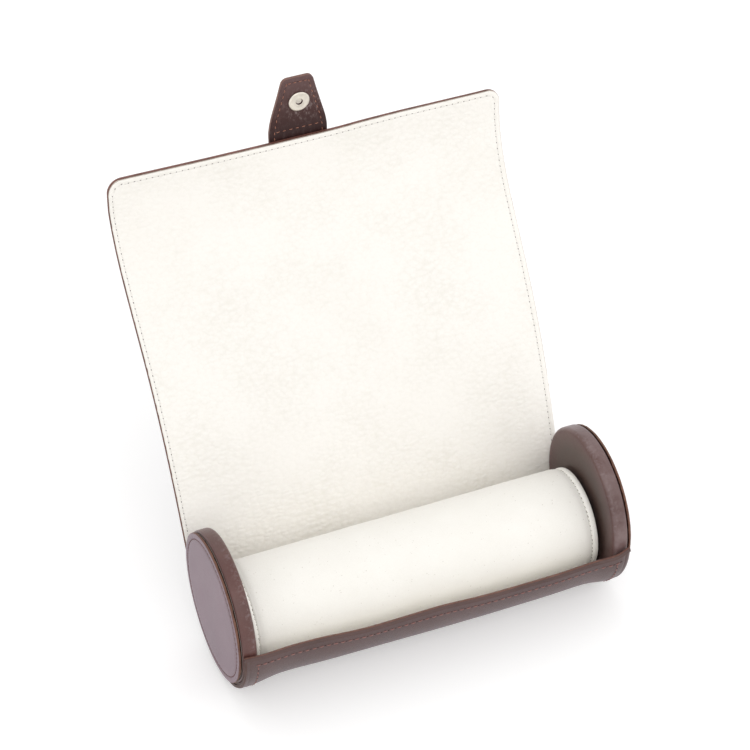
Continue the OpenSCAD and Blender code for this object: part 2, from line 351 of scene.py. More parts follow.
    @staticmethod
    def label(obj: Piece, slot: Optional[str], nodes: Sequence[str]) -> None:
        """Hides the plain solids that a piece stands for.

        Args:
            obj: The piece; not used.
            slot: The finish that the record names for it; not used.
            nodes: The plain solids that it stands for.
        """
        if nodes:
            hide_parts(*nodes)

    @staticmethod
    def finish(obj: Piece, body: str, slot: Optional[str] = None, *nodes: str) -> None:
        """Sets a finished piece on its body and reports it.

        Args:
            obj: The piece.
            body: The body that it rides on.
            slot: The finish that the record names for it.
            nodes: The plain solids that it stands for.
        """
        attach(obj, body)
        Bench.label(obj, slot, nodes)
        LOG.info("%s rides on %s, %d faces", obj.name, body, len(obj.data.polygons))

    @staticmethod
    def bend(
        obj: Piece, before: str, after: str, ends: Pairs, slot: Optional[str] = None, *nodes: str
    ) -> None:
        """Hides the plain solids of a finished piece, bakes it into place and reports the two bodies that it
        spans.

        Args:
            obj: The piece.
            before: The body on the side of its start, which is reported.
            after: The body on the side of its end, which is reported.
            ends: Places (y, z) where the bend starts and ends; not used.
            slot: The finish that the record names for it.
            nodes: The plain solids that it stands for.
        """
        Bench.label(obj, slot, nodes)
        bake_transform(obj)
        LOG.info("%s bends from %s to %s", obj.name, before, after)

    @staticmethod
    def dress(node: str, material: Material) -> None:
        """Gives a plain solid its finish.

        Args:
            node: The solid's name.
            material: The finish.
        """
        mesh = frame["nodes"][node].data
        mesh.materials.clear()
        mesh.materials.append(material)


# ------------ shader nodes


class Nodes:
    """Adds and joins shader nodes in one tree."""

    def __init__(self, tree: bpy.types.NodeTree) -> None:
        """Keeps the tree."""
        self.tree = tree

    def feed(self, socket: Socket, value: object) -> None:
        """Joins a socket to another, or sets its plain value; a colour needs no alpha.

        Args:
            socket: The input.
            value: A socket or a plain value.
        """
        if isinstance(value, Socket):
            self.tree.links.new(value, socket)
        elif socket.type == "RGBA":
            socket.default_value = (*value, 1)
        else:
            socket.default_value = value

    def fill(self, node: bpy.types.Node, **values: object) -> bpy.types.Node:
        """Sets a node's properties and inputs.

        Args:
            node: The node.
            values: Property names, or input names with spaces as underscores.

        Returns:
            The same node.
        """
        for key, value in values.items():
            if hasattr(node, key):
                setattr(node, key, value)
            else:
                self.feed(node.inputs[key.replace("_", " ")], value)
        return node

    def add(self, kind: str, **values: object) -> bpy.types.Node:
        """Adds a node, by its type without the ShaderNode prefix, and fills it."""
        return self.fill(self.tree.nodes.new("ShaderNode" + kind), **values)

    def _fed(self, node: bpy.types.Node, first: int, *values: object) -> bpy.types.Node:
        """Feeds some of a node's inputs in a row.

        Args:
            node: The node.
            first: Number of the first input.
            values: What feeds them.

        Returns:
            The same node.
        """
        for socket, value in zip(node.inputs[first : first + len(values)], values):
            self.feed(socket, value)
        return node

    def math(self, operation: str, *values: object, clamp: bool = False) -> Socket:
        """Result of a Math node; clamp keeps it within 0 and 1."""
        return self._fed(self.add("Math", operation=operation, use_clamp=clamp), 0, *values).outputs[0]

    def plus(self, a: object, b: object, clamp: bool = False) -> Socket:
        """The sum of two values."""
        return self.math("ADD", a, b, clamp=clamp)

    def times(self, a: object, b: object) -> Socket:
        """The product of two values."""
        return self.math("MULTIPLY", a, b)

    def sum_of(self, *terms: tuple[Socket, float]) -> Socket:
        """Adds values up.

        Args:
            terms: Values and their weights.

        Returns:
            The sum's socket.
        """
        parts = [self.times(value, weight) for value, weight in terms]
        total = parts[0]
        for part in parts[1:]:
            total = self.plus(total, part)
        return total

    def folded(self, value: Socket, gain: float) -> Socket:
        """How far a value is from one half, times a gain, up to 1."""
        away = self.math("ABSOLUTE", self.math("SUBTRACT", value, 0.5))
        return self.math("MULTIPLY", away, gain, clamp=True)

    def mix(self, share: Socket, first: object, second: object) -> Socket:
        """Mixes two colours by the share of the second."""
        return self._fed(self._fed(self.add("Mix", data_type="RGBA"), 0, share), 6, first, second).outputs[2]

    def part(self, vector: Socket, axis: str) -> Socket:
        """Takes the X, Y or Z out of a vector."""
        return self.add("SeparateXYZ", Vector=vector).outputs[axis]

    def vector(self, operation: str, *values: object) -> Sequence[Socket]:
        """Results of a Vector Math node."""
        return self._fed(self.add("VectorMath", operation=operation), 0, *values).outputs

    def scaled(self, vector: Socket, scale: Triple) -> Socket:
        """Stretches a vector along its axes."""
        return self.vector("MULTIPLY", vector, scale)[0]

    def distance(self, vector: Socket, centre: Triple, use: Triple) -> Socket:
        """Distance from a place, along the axes whose use is 1."""
        return self.vector("LENGTH", self.scaled(self.vector("SUBTRACT", vector, centre)[0], use))["Value"]

    def noise(self, vector: Socket, scale: float, detail: float = 3, rough: float = 0.5) -> Socket:
        """A noise texture's value; its scale is per metre."""
        return self.add("TexNoise", Vector=vector, Scale=scale, Detail=detail, Roughness=rough).outputs[0]

    def ramp(self, value: Socket, *stops: tuple[float, Triple]) -> Socket:
        """A ramp between two colours.

        Args:
            value: What drives it.
            stops: Both places and colours.

        Returns:
            The colour's socket.
        """
        node = self.add("ValToRGB", Fac=value)
        for element, (place, colour) in zip(node.color_ramp.elements, stops):
            element.position = place
            element.color = (*colour, 1)
        return node.outputs[0]

    def remap(self, value: Socket, low: float, high: float, start: float = 0.0, end: float = 1.0) -> Socket:
        """Maps a value from low and high to start and end, and holds it there."""
        return self._fed(self.add("MapRange"), 0, value, low, high, start, end).outputs[0]

    def bump(self, height: Socket, depth: float) -> Socket:
        """The normal of a relief that reaches some depth, in metres."""
        return self.add("Bump", Strength=1.0, Distance=depth, Height=height).outputs[0]


class Effects:
    """Shader groups that more than one finish uses, each built once."""

    @staticmethod
    def _open(name: str, *knobs: str) -> tuple[Nodes, Sequence[Socket]]:
        """Opens a new group.

        Args:
            name: The group's name.
            knobs: Names of its number inputs, besides Vector.

        Returns:
            The tree's helper and the sockets that carry the inputs.
        """
        tree = bpy.data.node_groups.new(name, "ShaderNodeTree")
        for label in ("Vector", *knobs):
            kind = "NodeSocketVector" if label == "Vector" else "NodeSocketFloat"
            tree.interface.new_socket(name=label, in_out="INPUT", socket_type=kind)
        return Nodes(tree), tree.nodes.new("NodeGroupInput").outputs

    @staticmethod
    def _close(n: Nodes, **results: Socket) -> bpy.types.NodeTree:
        """Closes a group.

        Args:
            n: The tree's helper.
            results: The number outputs and what feeds them.

        Returns:
            The group.
        """
        for label in results:
            n.tree.interface.new_socket(name=label, in_out="OUTPUT", socket_type="NodeSocketFloat")
        n.fill(n.tree.nodes.new("NodeGroupOutput"), **results)
        return n.tree

    @staticmethod
    @cache
    def grain() -> bpy.types.NodeTree:
        """Fine grain of smooth brown leather, with creases and a slow mottle.

        Returns:
            The group, with outputs Height and Mottle.
        """
        n, knobs = Effects._open("Leather grain", "Cells per metre", "Creases")
        place = knobs["Vector"]
        cells = n.add("TexVoronoi", feature="DISTANCE_TO_EDGE", Vector=place, Scale=knobs["Cells per metre"])
        pores = n.remap(cells.outputs["Distance"], 0.0, 0.25)
        fine = n.noise(place, 4200, 2)
        folds = n.noise(n.scaled(place, (1, 0.45, 0.45)), 260, 5, 0.6)
        crease = n.times(n.math("SUBTRACT", 1.0, n.folded(folds, 4.0)), knobs["Creases"])
        height = n.math("SUBTRACT", n.sum_of((pores, 0.35), (fine, 0.3)), crease)
        return Effects._close(n, Height=height, Mottle=n.noise(place, 45, 4, 0.6))

    @staticmethod
    @cache
    def pebble() -> bpy.types.NodeTree:
        """Soft tumbled leather: rounded pebbles, drawn grain and shallow wrinkles.

        Returns:
            The group, with outputs Height, Shade and Patch.
        """
        n, knobs = Effects._open("Tumbled grain", "Pebbles per metre", "Wrinkles")
        place = knobs["Vector"]
        drift = n.add("TexNoise", Vector=place, Scale=170.0, Detail=2.0).outputs["Color"]
        shift = n.add("VectorMath", operation="SCALE", Scale=0.0022)
        n.feed(shift.inputs[0], drift)
        moved = n.vector("ADD", place, shift.outputs[0])[0]
        cells = n.add(
            "TexVoronoi",
            feature="SMOOTH_F1",
            Smoothness=0.35,
            Vector=n.scaled(moved, (0.72, 1.15, 1.0)),
            Scale=knobs["Pebbles per metre"],
        ).outputs["Distance"]
        strength = n.remap(n.noise(place, 28, 2), 0.36, 0.66, 0.35, 1.0)
        dome = n.times(n.math("SUBTRACT", 1.0, n.times(cells, 1.1)), strength)
        fine = n.noise(place, 2600, 2)
        drawn = n.noise(n.scaled(moved, (0.35, 1.0, 1.0)), 130, 4, 0.55)
        wrinkle = n.times(n.folded(drawn, 5.0), knobs["Wrinkles"])
        speckle = n.times(n.math("SUBTRACT", n.noise(place, 850, 4, 0.6), 0.5), 1.2)
        return Effects._close(
            n,
            Height=n.plus(n.sum_of((dome, 0.8), (fine, 0.12)), wrinkle),
            Shade=n.plus(n.times(cells, strength), speckle),
            Patch=n.noise(place, 14, 3, 0.55),
        )

    @staticmethod
    @cache
    def wear() -> bpy.types.NodeTree:
        """Rubbed places, from broken-up slow noise.

        Returns:
            The group, with output Mask.
        """
        n, knobs = Effects._open("Rubbed places", "Amount")
        place = knobs["Vector"]
        mask = n.sum_of((n.noise(place, 60, 5, 0.65), 0.7), (n.noise(place, 900, 3, 0.6), 0.3))
        return Effects._close(n, Mask=n.times(n.remap(mask, 0.46, 0.64), knobs["Amount"]))


# ------------ finishes


class Reading(Enum):
    """Where a finish reads its pattern."""

    OBJECT = "Object"
    SHEET = "UV"


class Coat(Nodes):
    """The nodes of one material, with the place where its patterns are read and its shader."""

    def __init__(self, name: str, reading: Reading) -> None:
        """Opens a new material.

        Args:
            name: The material's name.
            reading: Where its patterns are read.
        """
        self.material = bpy.data.materials.new(name)
        self.material.use_nodes = True
        super().__init__(self.material.node_tree)
        self.place = self.add("TexCoord").outputs[reading.value]
        self.shader = self.tree.nodes["Principled BSDF"]


@dataclass(frozen=True)
class Finish:
    """What every finish shares: its name and where it reads its pattern."""

    name: str
    reading: Reading = Reading.OBJECT

    def make(self) -> Material:
        """Builds the material.

        Returns:
            The material.
        """
        n = Coat(self.name, self.reading)
        self.paint(n)
        return n.material

    def paint(self, n: Coat) -> None:
        """Fills the shader; each finish does it in its own way."""
        raise NotImplementedError


@dataclass(frozen=True)
class BrownLeather(Finish):
    """Smooth dyed leather."""

    deep: Triple = (0.050, 0.0215, 0.0185)
    light: Triple = (0.085, 0.040, 0.036)
    rough: float = 0.42
    coat: float = 0.12
    sheen: float = 0.25
    sheen_tint: Triple = (0.80, 0.70, 0.82)
    cells: float = 1400.0
    creases: float = 0.25
    relief: float = 0.00010
    gloss: float = 0.5
    rubbed: float = 0.35

    def toned(self, n: Coat, colour: Socket) -> Socket:
        """The dye's colour, which some leathers change from place to place."""
        return colour

    def paint(self, n: Coat) -> None:
        """Grained dye with a slow mottle, rougher where it is rubbed.

        Args:
            n: The material's nodes.
        """
        knobs = {"Cells_per_metre": self.cells, "Creases": self.creases}
        grain = n.add("Group", node_tree=Effects.grain(), Vector=n.place, **knobs)
        height, mottle = grain.outputs["Height"], grain.outputs["Mottle"]
        wear = n.add("Group", node_tree=Effects.wear(), Vector=n.place, Amount=self.rubbed).outputs["Mask"]
        colour = n.ramp(n.sum_of((mottle, 0.9), (height, 0.25)), (0.30, self.deep), (0.75, self.light))
        rough = n.plus(n.times(wear, 0.14), self.rough)
        n.fill(
            n.shader,
            Base_Color=self.toned(n, colour),
            Roughness=n.plus(rough, n.times(mottle, 0.08)),
            Specular_IOR_Level=self.gloss,
            Coat_Weight=self.coat,
            Coat_Roughness=0.35,
            Sheen_Weight=self.sheen,
            Sheen_Roughness=0.45,
            Sheen_Tint=self.sheen_tint,
            Normal=n.bump(height, self.relief),
        )


@dataclass(frozen=True)
class TabLeather(BrownLeather):
    """Leather of the tab: darker at its root, partly dye and partly painted shade from the flap's edge;
    lighter towards its end, partly wear and partly painted light; scuffed about the snap.
    """

    # The root colour is darker dye with painted shade from the flap's edge; the tip colour is lighter, wear
    # with painted light.
    root: Triple = (0.022, 0.0055, 0.0050)
    tip: Triple = (0.125, 0.068, 0.066)
    scuff: Triple = (0.34, 0.27, 0.26)
    snap_place: Triple = (0.0035, 0.029, 0.0)
    root_shade_span: tuple[float, float] = (0.013, 0.023)
    tip_span: tuple[float, float] = (0.022, 0.046)
    scuff_span: tuple[float, float] = (0.003, 0.012)

    def toned(self, n: Coat, colour: Socket) -> Socket:
        """The dye's colour along the tab, with its darker root and lighter end, partly painted shade and
        light, and its scuffs.

        Args:
            n: The material's nodes.
            colour: The dye's colour.

        Returns:
            The colour's socket.
        """
        run = n.part(n.place, "Y")
        # Lighter towards the end: partly wear, partly painted light.
        worn_and_lit_end = n.mix(n.remap(run, *self.tip_span, 0.0, 0.9), colour, self.tip)
        # Darker at the root: partly dye, partly painted shade from the flap's edge.
        dark = n.mix(n.remap(run, *self.root_shade_span, 0.9, 0.0), worn_and_lit_end, self.root)
        near = n.remap(n.distance(n.place, self.snap_place, (1, 1, 0)), *self.scuff_span, 1.0, 0.1)
        marks = n.remap(n.noise(n.scaled(n.place, (1.0, 0.5, 1.0)), 560, 4, 0.7), 0.50, 0.66, 0.0, 0.7)
        return n.mix(n.times(near, marks), dark, self.scuff)


@dataclass(frozen=True)
class RimLeather(BrownLeather):
    """Leather that covers a round end: rubbed along the rim's inner border, darker towards the pillow in
    painted shade, with a painted highlight on the right end's outer band.
    """

    axis_z: float = 41.5 * MM
    # The dusk colour and its span are painted shade: the inner face darkens towards the pillow.
    dusk: Triple = (0.046, 0.024, 0.014)
    # The scuff colour serves the rubbed border, and also the painted highlight on the band.
    scuff: Triple = (0.26, 0.20, 0.20)
    shade_span: tuple[float, float] = (0.027, 0.037)
    border_rise: tuple[float, float] = (0.0366, 0.0380)
    border_span: tuple[float, float] = (0.0965, 0.1000)
    # These two place a painted highlight on the rim's outer band, on the right end only.
    highlight_rise: tuple[float, float] = (0.0370, 0.0380)
    highlight_span: tuple[float, float] = (-0.09, 0.09)

    def toned(self, n: Coat, colour: Socket) -> Socket:
        """The dye's colour, with painted shade by the distance from the roll's axis, the rubbed border and a
        painted highlight on the right end's band.

        Args:
            n: The material's nodes.
            colour: The dye's colour.

        Returns:
            The colour's socket.
        """
        rise = n.distance(n.place, (0, 0, self.axis_z), (0, 1, 1))
        across = n.part(n.place, "X")
        # Painted shade: darker towards the roll's axis, near the pillow.
        shaded = n.mix(n.remap(rise, *self.shade_span, 0.85, 0.0), colour, self.dusk)
        inward = n.remap(n.math("ABSOLUTE", across), *self.border_span, 1.0, 0.12)
        border = n.times(n.remap(rise, *self.border_rise), inward)
        marks = n.remap(n.noise(n.place, 520, 4, 0.7), 0.50, 0.68, 0.0, 0.42)
        # Painted highlight: a broken lighter band on the right end's outer band.
        highlight = n.times(n.remap(across, *self.highlight_span, 0.0, 0.45), n.remap(rise, *self.highlight_rise))
        broken = n.remap(n.noise(n.place, 90, 4, 0.6), 0.35, 0.6, 0.3, 1.0)
        highlighted = n.mix(n.times(highlight, broken), shaded, self.scuff)
        return n.mix(n.times(border, marks), highlighted, self.scuff)


@dataclass(frozen=True)
class FaceLeather(BrownLeather):
    """Leather of the round ends' discs, with faint upright streaks."""

    streak: Triple = (0.125, 0.082, 0.092)

    def toned(self, n: Coat, colour: Socket) -> Socket:
        """The dye's colour with its streaks."""
        lines = n.noise(n.scaled(n.place, (1.0, 1.0, 0.12)), 380, 4, 0.6)
        return n.mix(n.remap(lines, 0.42, 0.70, 0.0, 0.2), colour, self.streak)


@dataclass(frozen=True)
class CreamLeather(Finish):
    """Pale tumbled lining leather."""

    reading: Reading = Reading.SHEET
    pale: Triple = (0.930, 0.903, 0.855)
    # The hollow colour darkens the valleys between pebbles: partly the grain's tone, partly painted shade.
    hollow: Triple = (0.865, 0.835, 0.775)
    patch: Triple = (0.905, 0.875, 0.822)
    pebbles: float = 430.0
    wrinkles: float = 0.10
    relief: float = 0.00050

    def paint(self, n: Coat) -> None:
        """Pebbled cream, darker in the valleys between pebbles, partly the grain's tone and partly painted
        shade, and duller in slow patches.

        Args:
            n: The material's nodes.
        """
        knobs = {"Pebbles_per_metre": self.pebbles, "Wrinkles": self.wrinkles}
        pebble = n.add("Group", node_tree=Effects.pebble(), Vector=n.place, **knobs)
        patch = pebble.outputs["Patch"]
        # Darker valleys between pebbles: partly grain tone, partly painted shade.
        base = n.ramp(pebble.outputs["Shade"], (0.15, self.pale), (0.85, self.hollow))
        n.fill(
            n.shader,
            Base_Color=n.mix(n.remap(patch, 0.45, 0.75, 0.0, 0.6), base, self.patch),
            Roughness=n.remap(patch, 0.3, 0.7, 0.56, 0.70),
            Specular_IOR_Level=0.35,
            Sheen_Weight=0.15,
            Sheen_Roughness=0.5,
            Normal=n.bump(pebble.outputs["Height"], self.relief),
        )


@dataclass(frozen=True)
class CreamNap(Finish):
    """Pale napped leather of the pillow, with fine specks."""

    pale: Triple = (0.932, 0.912, 0.862)
    dusk: Triple = (0.885, 0.860, 0.805)
    speck: Triple = (0.50, 0.45, 0.38)
    relief: float = 0.00018

    def paint(self, n: Coat) -> None:
        """Clouded nap with a few small specks of uneven size.

        Args:
            n: The material's nodes.
        """
        nap = n.noise(n.place, 1500, 4, 0.65)
        cloud = n.noise(n.place, 32, 4, 0.6)
        base = n.ramp(n.sum_of((nap, 0.45), (cloud, 0.6)), (0.36, self.dusk), (0.66, self.pale))
        dots = n.add("TexVoronoi", feature="F1", Vector=n.place, Scale=600.0).outputs["Distance"]
        near = n.math("LESS_THAN", dots, n.remap(n.noise(n.place, 420, 1), 0.44, 0.70, 0.0, 0.19))
        n.fill(
            n.shader,
            Base_Color=n.mix(n.times(near, 0.4), base, self.speck),
            Roughness=n.remap(nap, 0.3, 0.7, 0.82, 0.95),
            Specular_IOR_Level=0.2,
            Sheen_Weight=0.3,
            Sheen_Roughness=0.6,
            Normal=n.bump(n.sum_of((nap, 0.6), (cloud, 1.2)), self.relief),
        )


@dataclass(frozen=True)
class CutEdge(Finish):
    """Raw or painted edge of a leather, with fibres."""

    dark: Triple = (0.060, 0.026, 0.018)
    light: Triple = (0.165, 0.080, 0.050)
    fibre: float = 2400.0
    rough: float = 0.6
    gloss: float = 0.4
    relief: float = 0.00018

    def paint(self, n: Coat) -> None:
        """Fibres over a slow change of tone.

        Args:
            n: The material's nodes.
        """
        fibre = n.noise(n.place, self.fibre, 4, 0.65)
        tone = n.sum_of((fibre, 0.6), (n.noise(n.place, 210, 3, 0.6), 0.45))
        n.fill(
            n.shader,
            Base_Color=n.ramp(tone, (0.36, self.dark), (0.68, self.light)),
            Roughness=n.remap(fibre, 0.3, 0.7, self.rough - 0.1, self.rough + 0.2),
            Specular_IOR_Level=self.gloss,
            Normal=n.bump(tone, self.relief),
        )


@dataclass(frozen=True)
class Thread(Finish):
    """Waxed sewing thread."""

    colour: Triple = (0.16, 0.060, 0.050)
    shade: Triple = (0.07, 0.026, 0.022)

    def paint(self, n: Coat) -> None:
        """Two tones in a fine twist."""
        twist = n.add("TexWave", Vector=n.place, Scale=900.0, Distortion=1.5, Detail=2.0).outputs["Fac"]
        n.fill(
            n.shader,
            Base_Color=n.ramp(twist, (0.2, self.shade), (0.7, self.colour)),
            Roughness=n.remap(twist, 0, 1, 0.65, 0.45),
            Normal=n.bump(twist, 0.00008),
        )


@dataclass(frozen=True)
class BrushedMetal(Finish):
    """Plated or rolled metal with fine scratches."""

    colour: Triple = (0.72, 0.69, 0.64)
    rough: float = 0.22

    def paint(self, n: Coat) -> None:
        """Smudged metal, scratched across the roll.

        Args:
            n: The material's nodes.
        """
        scratch = n.noise(n.scaled(n.place, (1, 6, 6)), 900, 4, 0.7)
        dark = tuple(c * 0.8 for c in self.colour)
        n.fill(
            n.shader,
            Base_Color=n.ramp(n.noise(n.place, 240, 3), (0.3, dark), (0.65, self.colour)),
            Roughness=n.plus(n.times(scratch, 0.18), self.rough - 0.06),
            Metallic=1.0,
            Normal=n.bump(scratch, 0.00001),
        )


@dataclass(frozen=True)
class Stuffing(Finish):
    """Board or foam that hides inside."""

    colour: Triple = (0.50, 0.48, 0.44)
    cells: float = 900.0

    def paint(self, n: Coat) -> None:
        """Small open pores.

        Args:
            n: The material's nodes.
        """
        pores = n.add("TexVoronoi", feature="F1", Vector=n.place, Scale=self.cells).outputs["Distance"]
        dark = tuple(c * 0.72 for c in self.colour)
        n.fill(
            n.shader,
            Base_Color=n.ramp(pores, (0.1, dark), (0.6, self.colour)),
            Roughness=n.remap(pores, 0, 1, 0.8, 0.95),
            Normal=n.bump(pores, 0.0002),
        )


FINISHES: dict[str, Finish] = {
    "shell": BrownLeather(
        "shell_leather", Reading.SHEET, deep=(0.058, 0.025, 0.021), light=(0.096, 0.046, 0.040), sheen=0.14
    ),
    "rim": RimLeather(
        "rim_leather",
        deep=(0.068, 0.022, 0.018),
        light=(0.112, 0.043, 0.036),
        rough=0.36,
        sheen=0.06,
        cells=1200.0,
        creases=0.15,
    ),
    "face": FaceLeather(
        "face_leather",
        deep=(0.078, 0.033, 0.039),
        light=(0.127, 0.059, 0.071),
        rough=0.40,
        coat=0.15,
        sheen=0.35,
        sheen_tint=(0.86, 0.68, 0.84),
        creases=0.12,
    ),
    "tab": TabLeather(
        "tab_leather",
        Reading.SHEET,
        deep=(0.036, 0.010, 0.008),
        light=(0.056, 0.018, 0.016),
        rough=0.46,
        coat=0.03,
        sheen=0.0,
        gloss=0.3,
        creases=0.2,
    ),
    "lining": CreamLeather("cream_lining"),
    "nap": CreamNap("cream_nap"),
    "edge": CutEdge("painted_edge", dark=(0.095, 0.034, 0.025), light=(0.250, 0.105, 0.082), rough=0.55),
    "tray_edge": CutEdge("tray_edge", dark=(0.045, 0.018, 0.014), light=(0.105, 0.050, 0.040), rough=0.5),
    "tab_edge": CutEdge("tab_edge", dark=(0.110, 0.050, 0.040), light=(0.280, 0.150, 0.120)),
    # The lining's edge finish: the cut edge's colour, with a thin grey line of painted shade.
    "lining_edge_and_shade": CutEdge("lining_edge_and_shade", dark=(0.420, 0.360, 0.300), light=(0.760, 0.710, 0.640), rough=0.7),
    "lip": CutEdge("turned_lip", dark=(0.085, 0.036, 0.026), light=(0.220, 0.105, 0.078), rough=0.5),
    "raw_edge": CutEdge(
        "raw_edge", dark=(0.075, 0.031, 0.020), light=(0.205, 0.095, 0.062), fibre=1500.0, relief=0.0004
    ),
    # The groove finish is near-black painted shade in the gap between the disc and the rim.
    "groove": CutEdge(
        "groove_painted_shade", dark=(0.020, 0.008, 0.007), light=(0.058, 0.025, 0.021), rough=0.85, gloss=0.05
    ),
    # The two hole finishes are painted shade: the dark of needle holes and of the snap's hole.
    "hole": CutEdge("needle_hole_shade", dark=(0.020, 0.006, 0.007), light=(0.070, 0.022, 0.022), rough=0.8),
    "pale_hole": CutEdge(
        "pale_needle_hole_shade", dark=(0.060, 0.052, 0.050), light=(0.220, 0.190, 0.180), rough=0.8, gloss=0.1
    ),
    "brown_thread": Thread("brown_thread", colour=(0.350, 0.170, 0.150), shade=(0.200, 0.090, 0.080)),
    "tan_thread": Thread("tan_thread", colour=(0.420, 0.180, 0.115), shade=(0.220, 0.090, 0.058)),
    "dark_thread": Thread("dark_thread", colour=(0.170, 0.052, 0.046), shade=(0.075, 0.024, 0.021)),
    "pale_thread": Thread("pale_thread", colour=(0.90, 0.875, 0.83), shade=(0.80, 0.77, 0.72)),
    "seam_thread": Thread("seam_thread", colour=(0.15, 0.12, 0.080), shade=(0.060, 0.048, 0.032)),
    "nickel": BrushedMetal("nickel", colour=(0.77, 0.715, 0.63), rough=0.30),
    "steel": BrushedMetal("washer_steel", colour=(0.50, 0.50, 0.51), rough=0.38),
    "magnet": BrushedMetal("magnet_plate", colour=(0.62, 0.59, 0.54), rough=0.40),
    "board": Stuffing("end_board"),
    "foam": Stuffing("foam", colour=(0.80, 0.74, 0.52), cells=700.0),
}

Palette = dict[str, Material]


# ------------ sewing


@dataclass
class Sewing:
    """A row of stitches."""

    pitch: float = 3.1 * MM
    length: float = 2.2 * MM
    width: float = 0.55 * MM
    height: float = 0.42 * MM
    slant: float = 5.0
    lift: float = 0.12
    hole_height: float = 0.12 * MM
    hole_overlap: float = 0.12 * MM
    hole_share: float = 0.42
    dive: float = 0.6

    @staticmethod
    def _taken(obj: Piece) -> list[tuple[int, ...]]:
        """Takes a model's faces and removes it.

        Args:
            obj: The model.

        Returns:
            Its faces.
        """
        faces = [tuple(polygon.vertices) for polygon in obj.data.polygons]
        bpy.data.objects.remove(obj)
        return faces

    def _hole(self) -> tuple[Array, list[tuple[int, ...]]]:
        """Models the needle hole between a stitch and the next as a flat dark bead: painted shade in the
        hole.

        Returns:
            Its points about the stitch's middle and its faces.
        """
        ball = bpy.ops.mesh.primitive_uv_sphere_add
        obj = Bench.add("hole_model", ball, segments=6, ring_count=3, radius=1)
        reach = (self.pitch - self.length) / 2 + self.hole_overlap
        co = Bench.points(obj) * [reach, self.width * self.hole_share, self.hole_height]
        return co + [self.pitch / 2, 0, -self.lift * self.height], self._taken(obj)

    def _one(self) -> tuple[Array, list[tuple[int, ...]]]:
        """Models one stitch, whose ends dive into the leather.

        Returns:
            Its points about its middle and its faces.
        """
        ball = bpy.ops.mesh.primitive_uv_sphere_add
        obj = Bench.add("stitch_model", ball, segments=8, ring_count=6, radius=0.5)
        with Bench.editing(obj):
            bpy.ops.transform.rotate(value=math.pi / 2, orient_axis="Y", center_override=(0, 0, 0))
            bpy.ops.transform.resize(value=(self.length, self.width, self.height), center_override=(0, 0, 0))
        co = Bench.points(obj)
        co[:, 2] -= self.height * self.dive * (2 * np.abs(co[:, 0]) / self.length) ** 3
        return co, self._taken(obj)

    def sew(self, name: str, centres: Array, along: Array, out: Array, *materials: Material) -> Piece:
        """Copies the stitch and its needle hole to each place and joins the copies.

        Args:
            name: The row's name.
            centres: Middle of each stitch on the leather's face.
            along: Direction of the row there.
            out: The face's outward normal there.
            materials: The thread, and the painted shade of the needle holes.

        Returns:
            One mesh with all the stitches.
        """
        stitch, stitch_faces = self._one()
        hole, hole_faces = self._hole()
        faces = stitch_faces + [tuple(v + len(stitch) for v in face) for face in hole_faces]
        model = np.vstack([stitch, hole])
        along = along / np.linalg.norm(along, axis=1, keepdims=True)
        out = out / np.linalg.norm(out, axis=1, keepdims=True)
        turn = math.radians(self.slant)
        lead = along * math.cos(turn) + np.cross(out, along) * math.sin(turn)
        side = np.cross(out, lead)
        points = (
            centres[:, None, :]
            + model[None, :, 0, None] * lead[:, None, :]
            + model[None, :, 1, None] * side[:, None, :]
            + (model[None, :, 2, None] + self.height * self.lift) * out[:, None, :]
        ).reshape(-1, 3)
        all_faces = [tuple(v + len(model) * k for v in face) for k in range(len(centres)) for face in faces]
        mesh = bpy.data.meshes.new(name)
        mesh.from_pydata(points.tolist(), [], all_faces)
        obj = bpy.data.objects.new(name, mesh)
        Bench.paint(obj, *materials)
        # The hole beads take the second material: painted shade.
        index = (np.arange(len(all_faces)) % len(faces) >= len(stitch_faces)).astype(np.int32)
        mesh.polygons.foreach_set("material_index", index)
        mesh.update()
        bpy.context.scene.collection.objects.link(obj)
        Bench.smooth(obj, 80)
        return obj


# ------------ the sheet


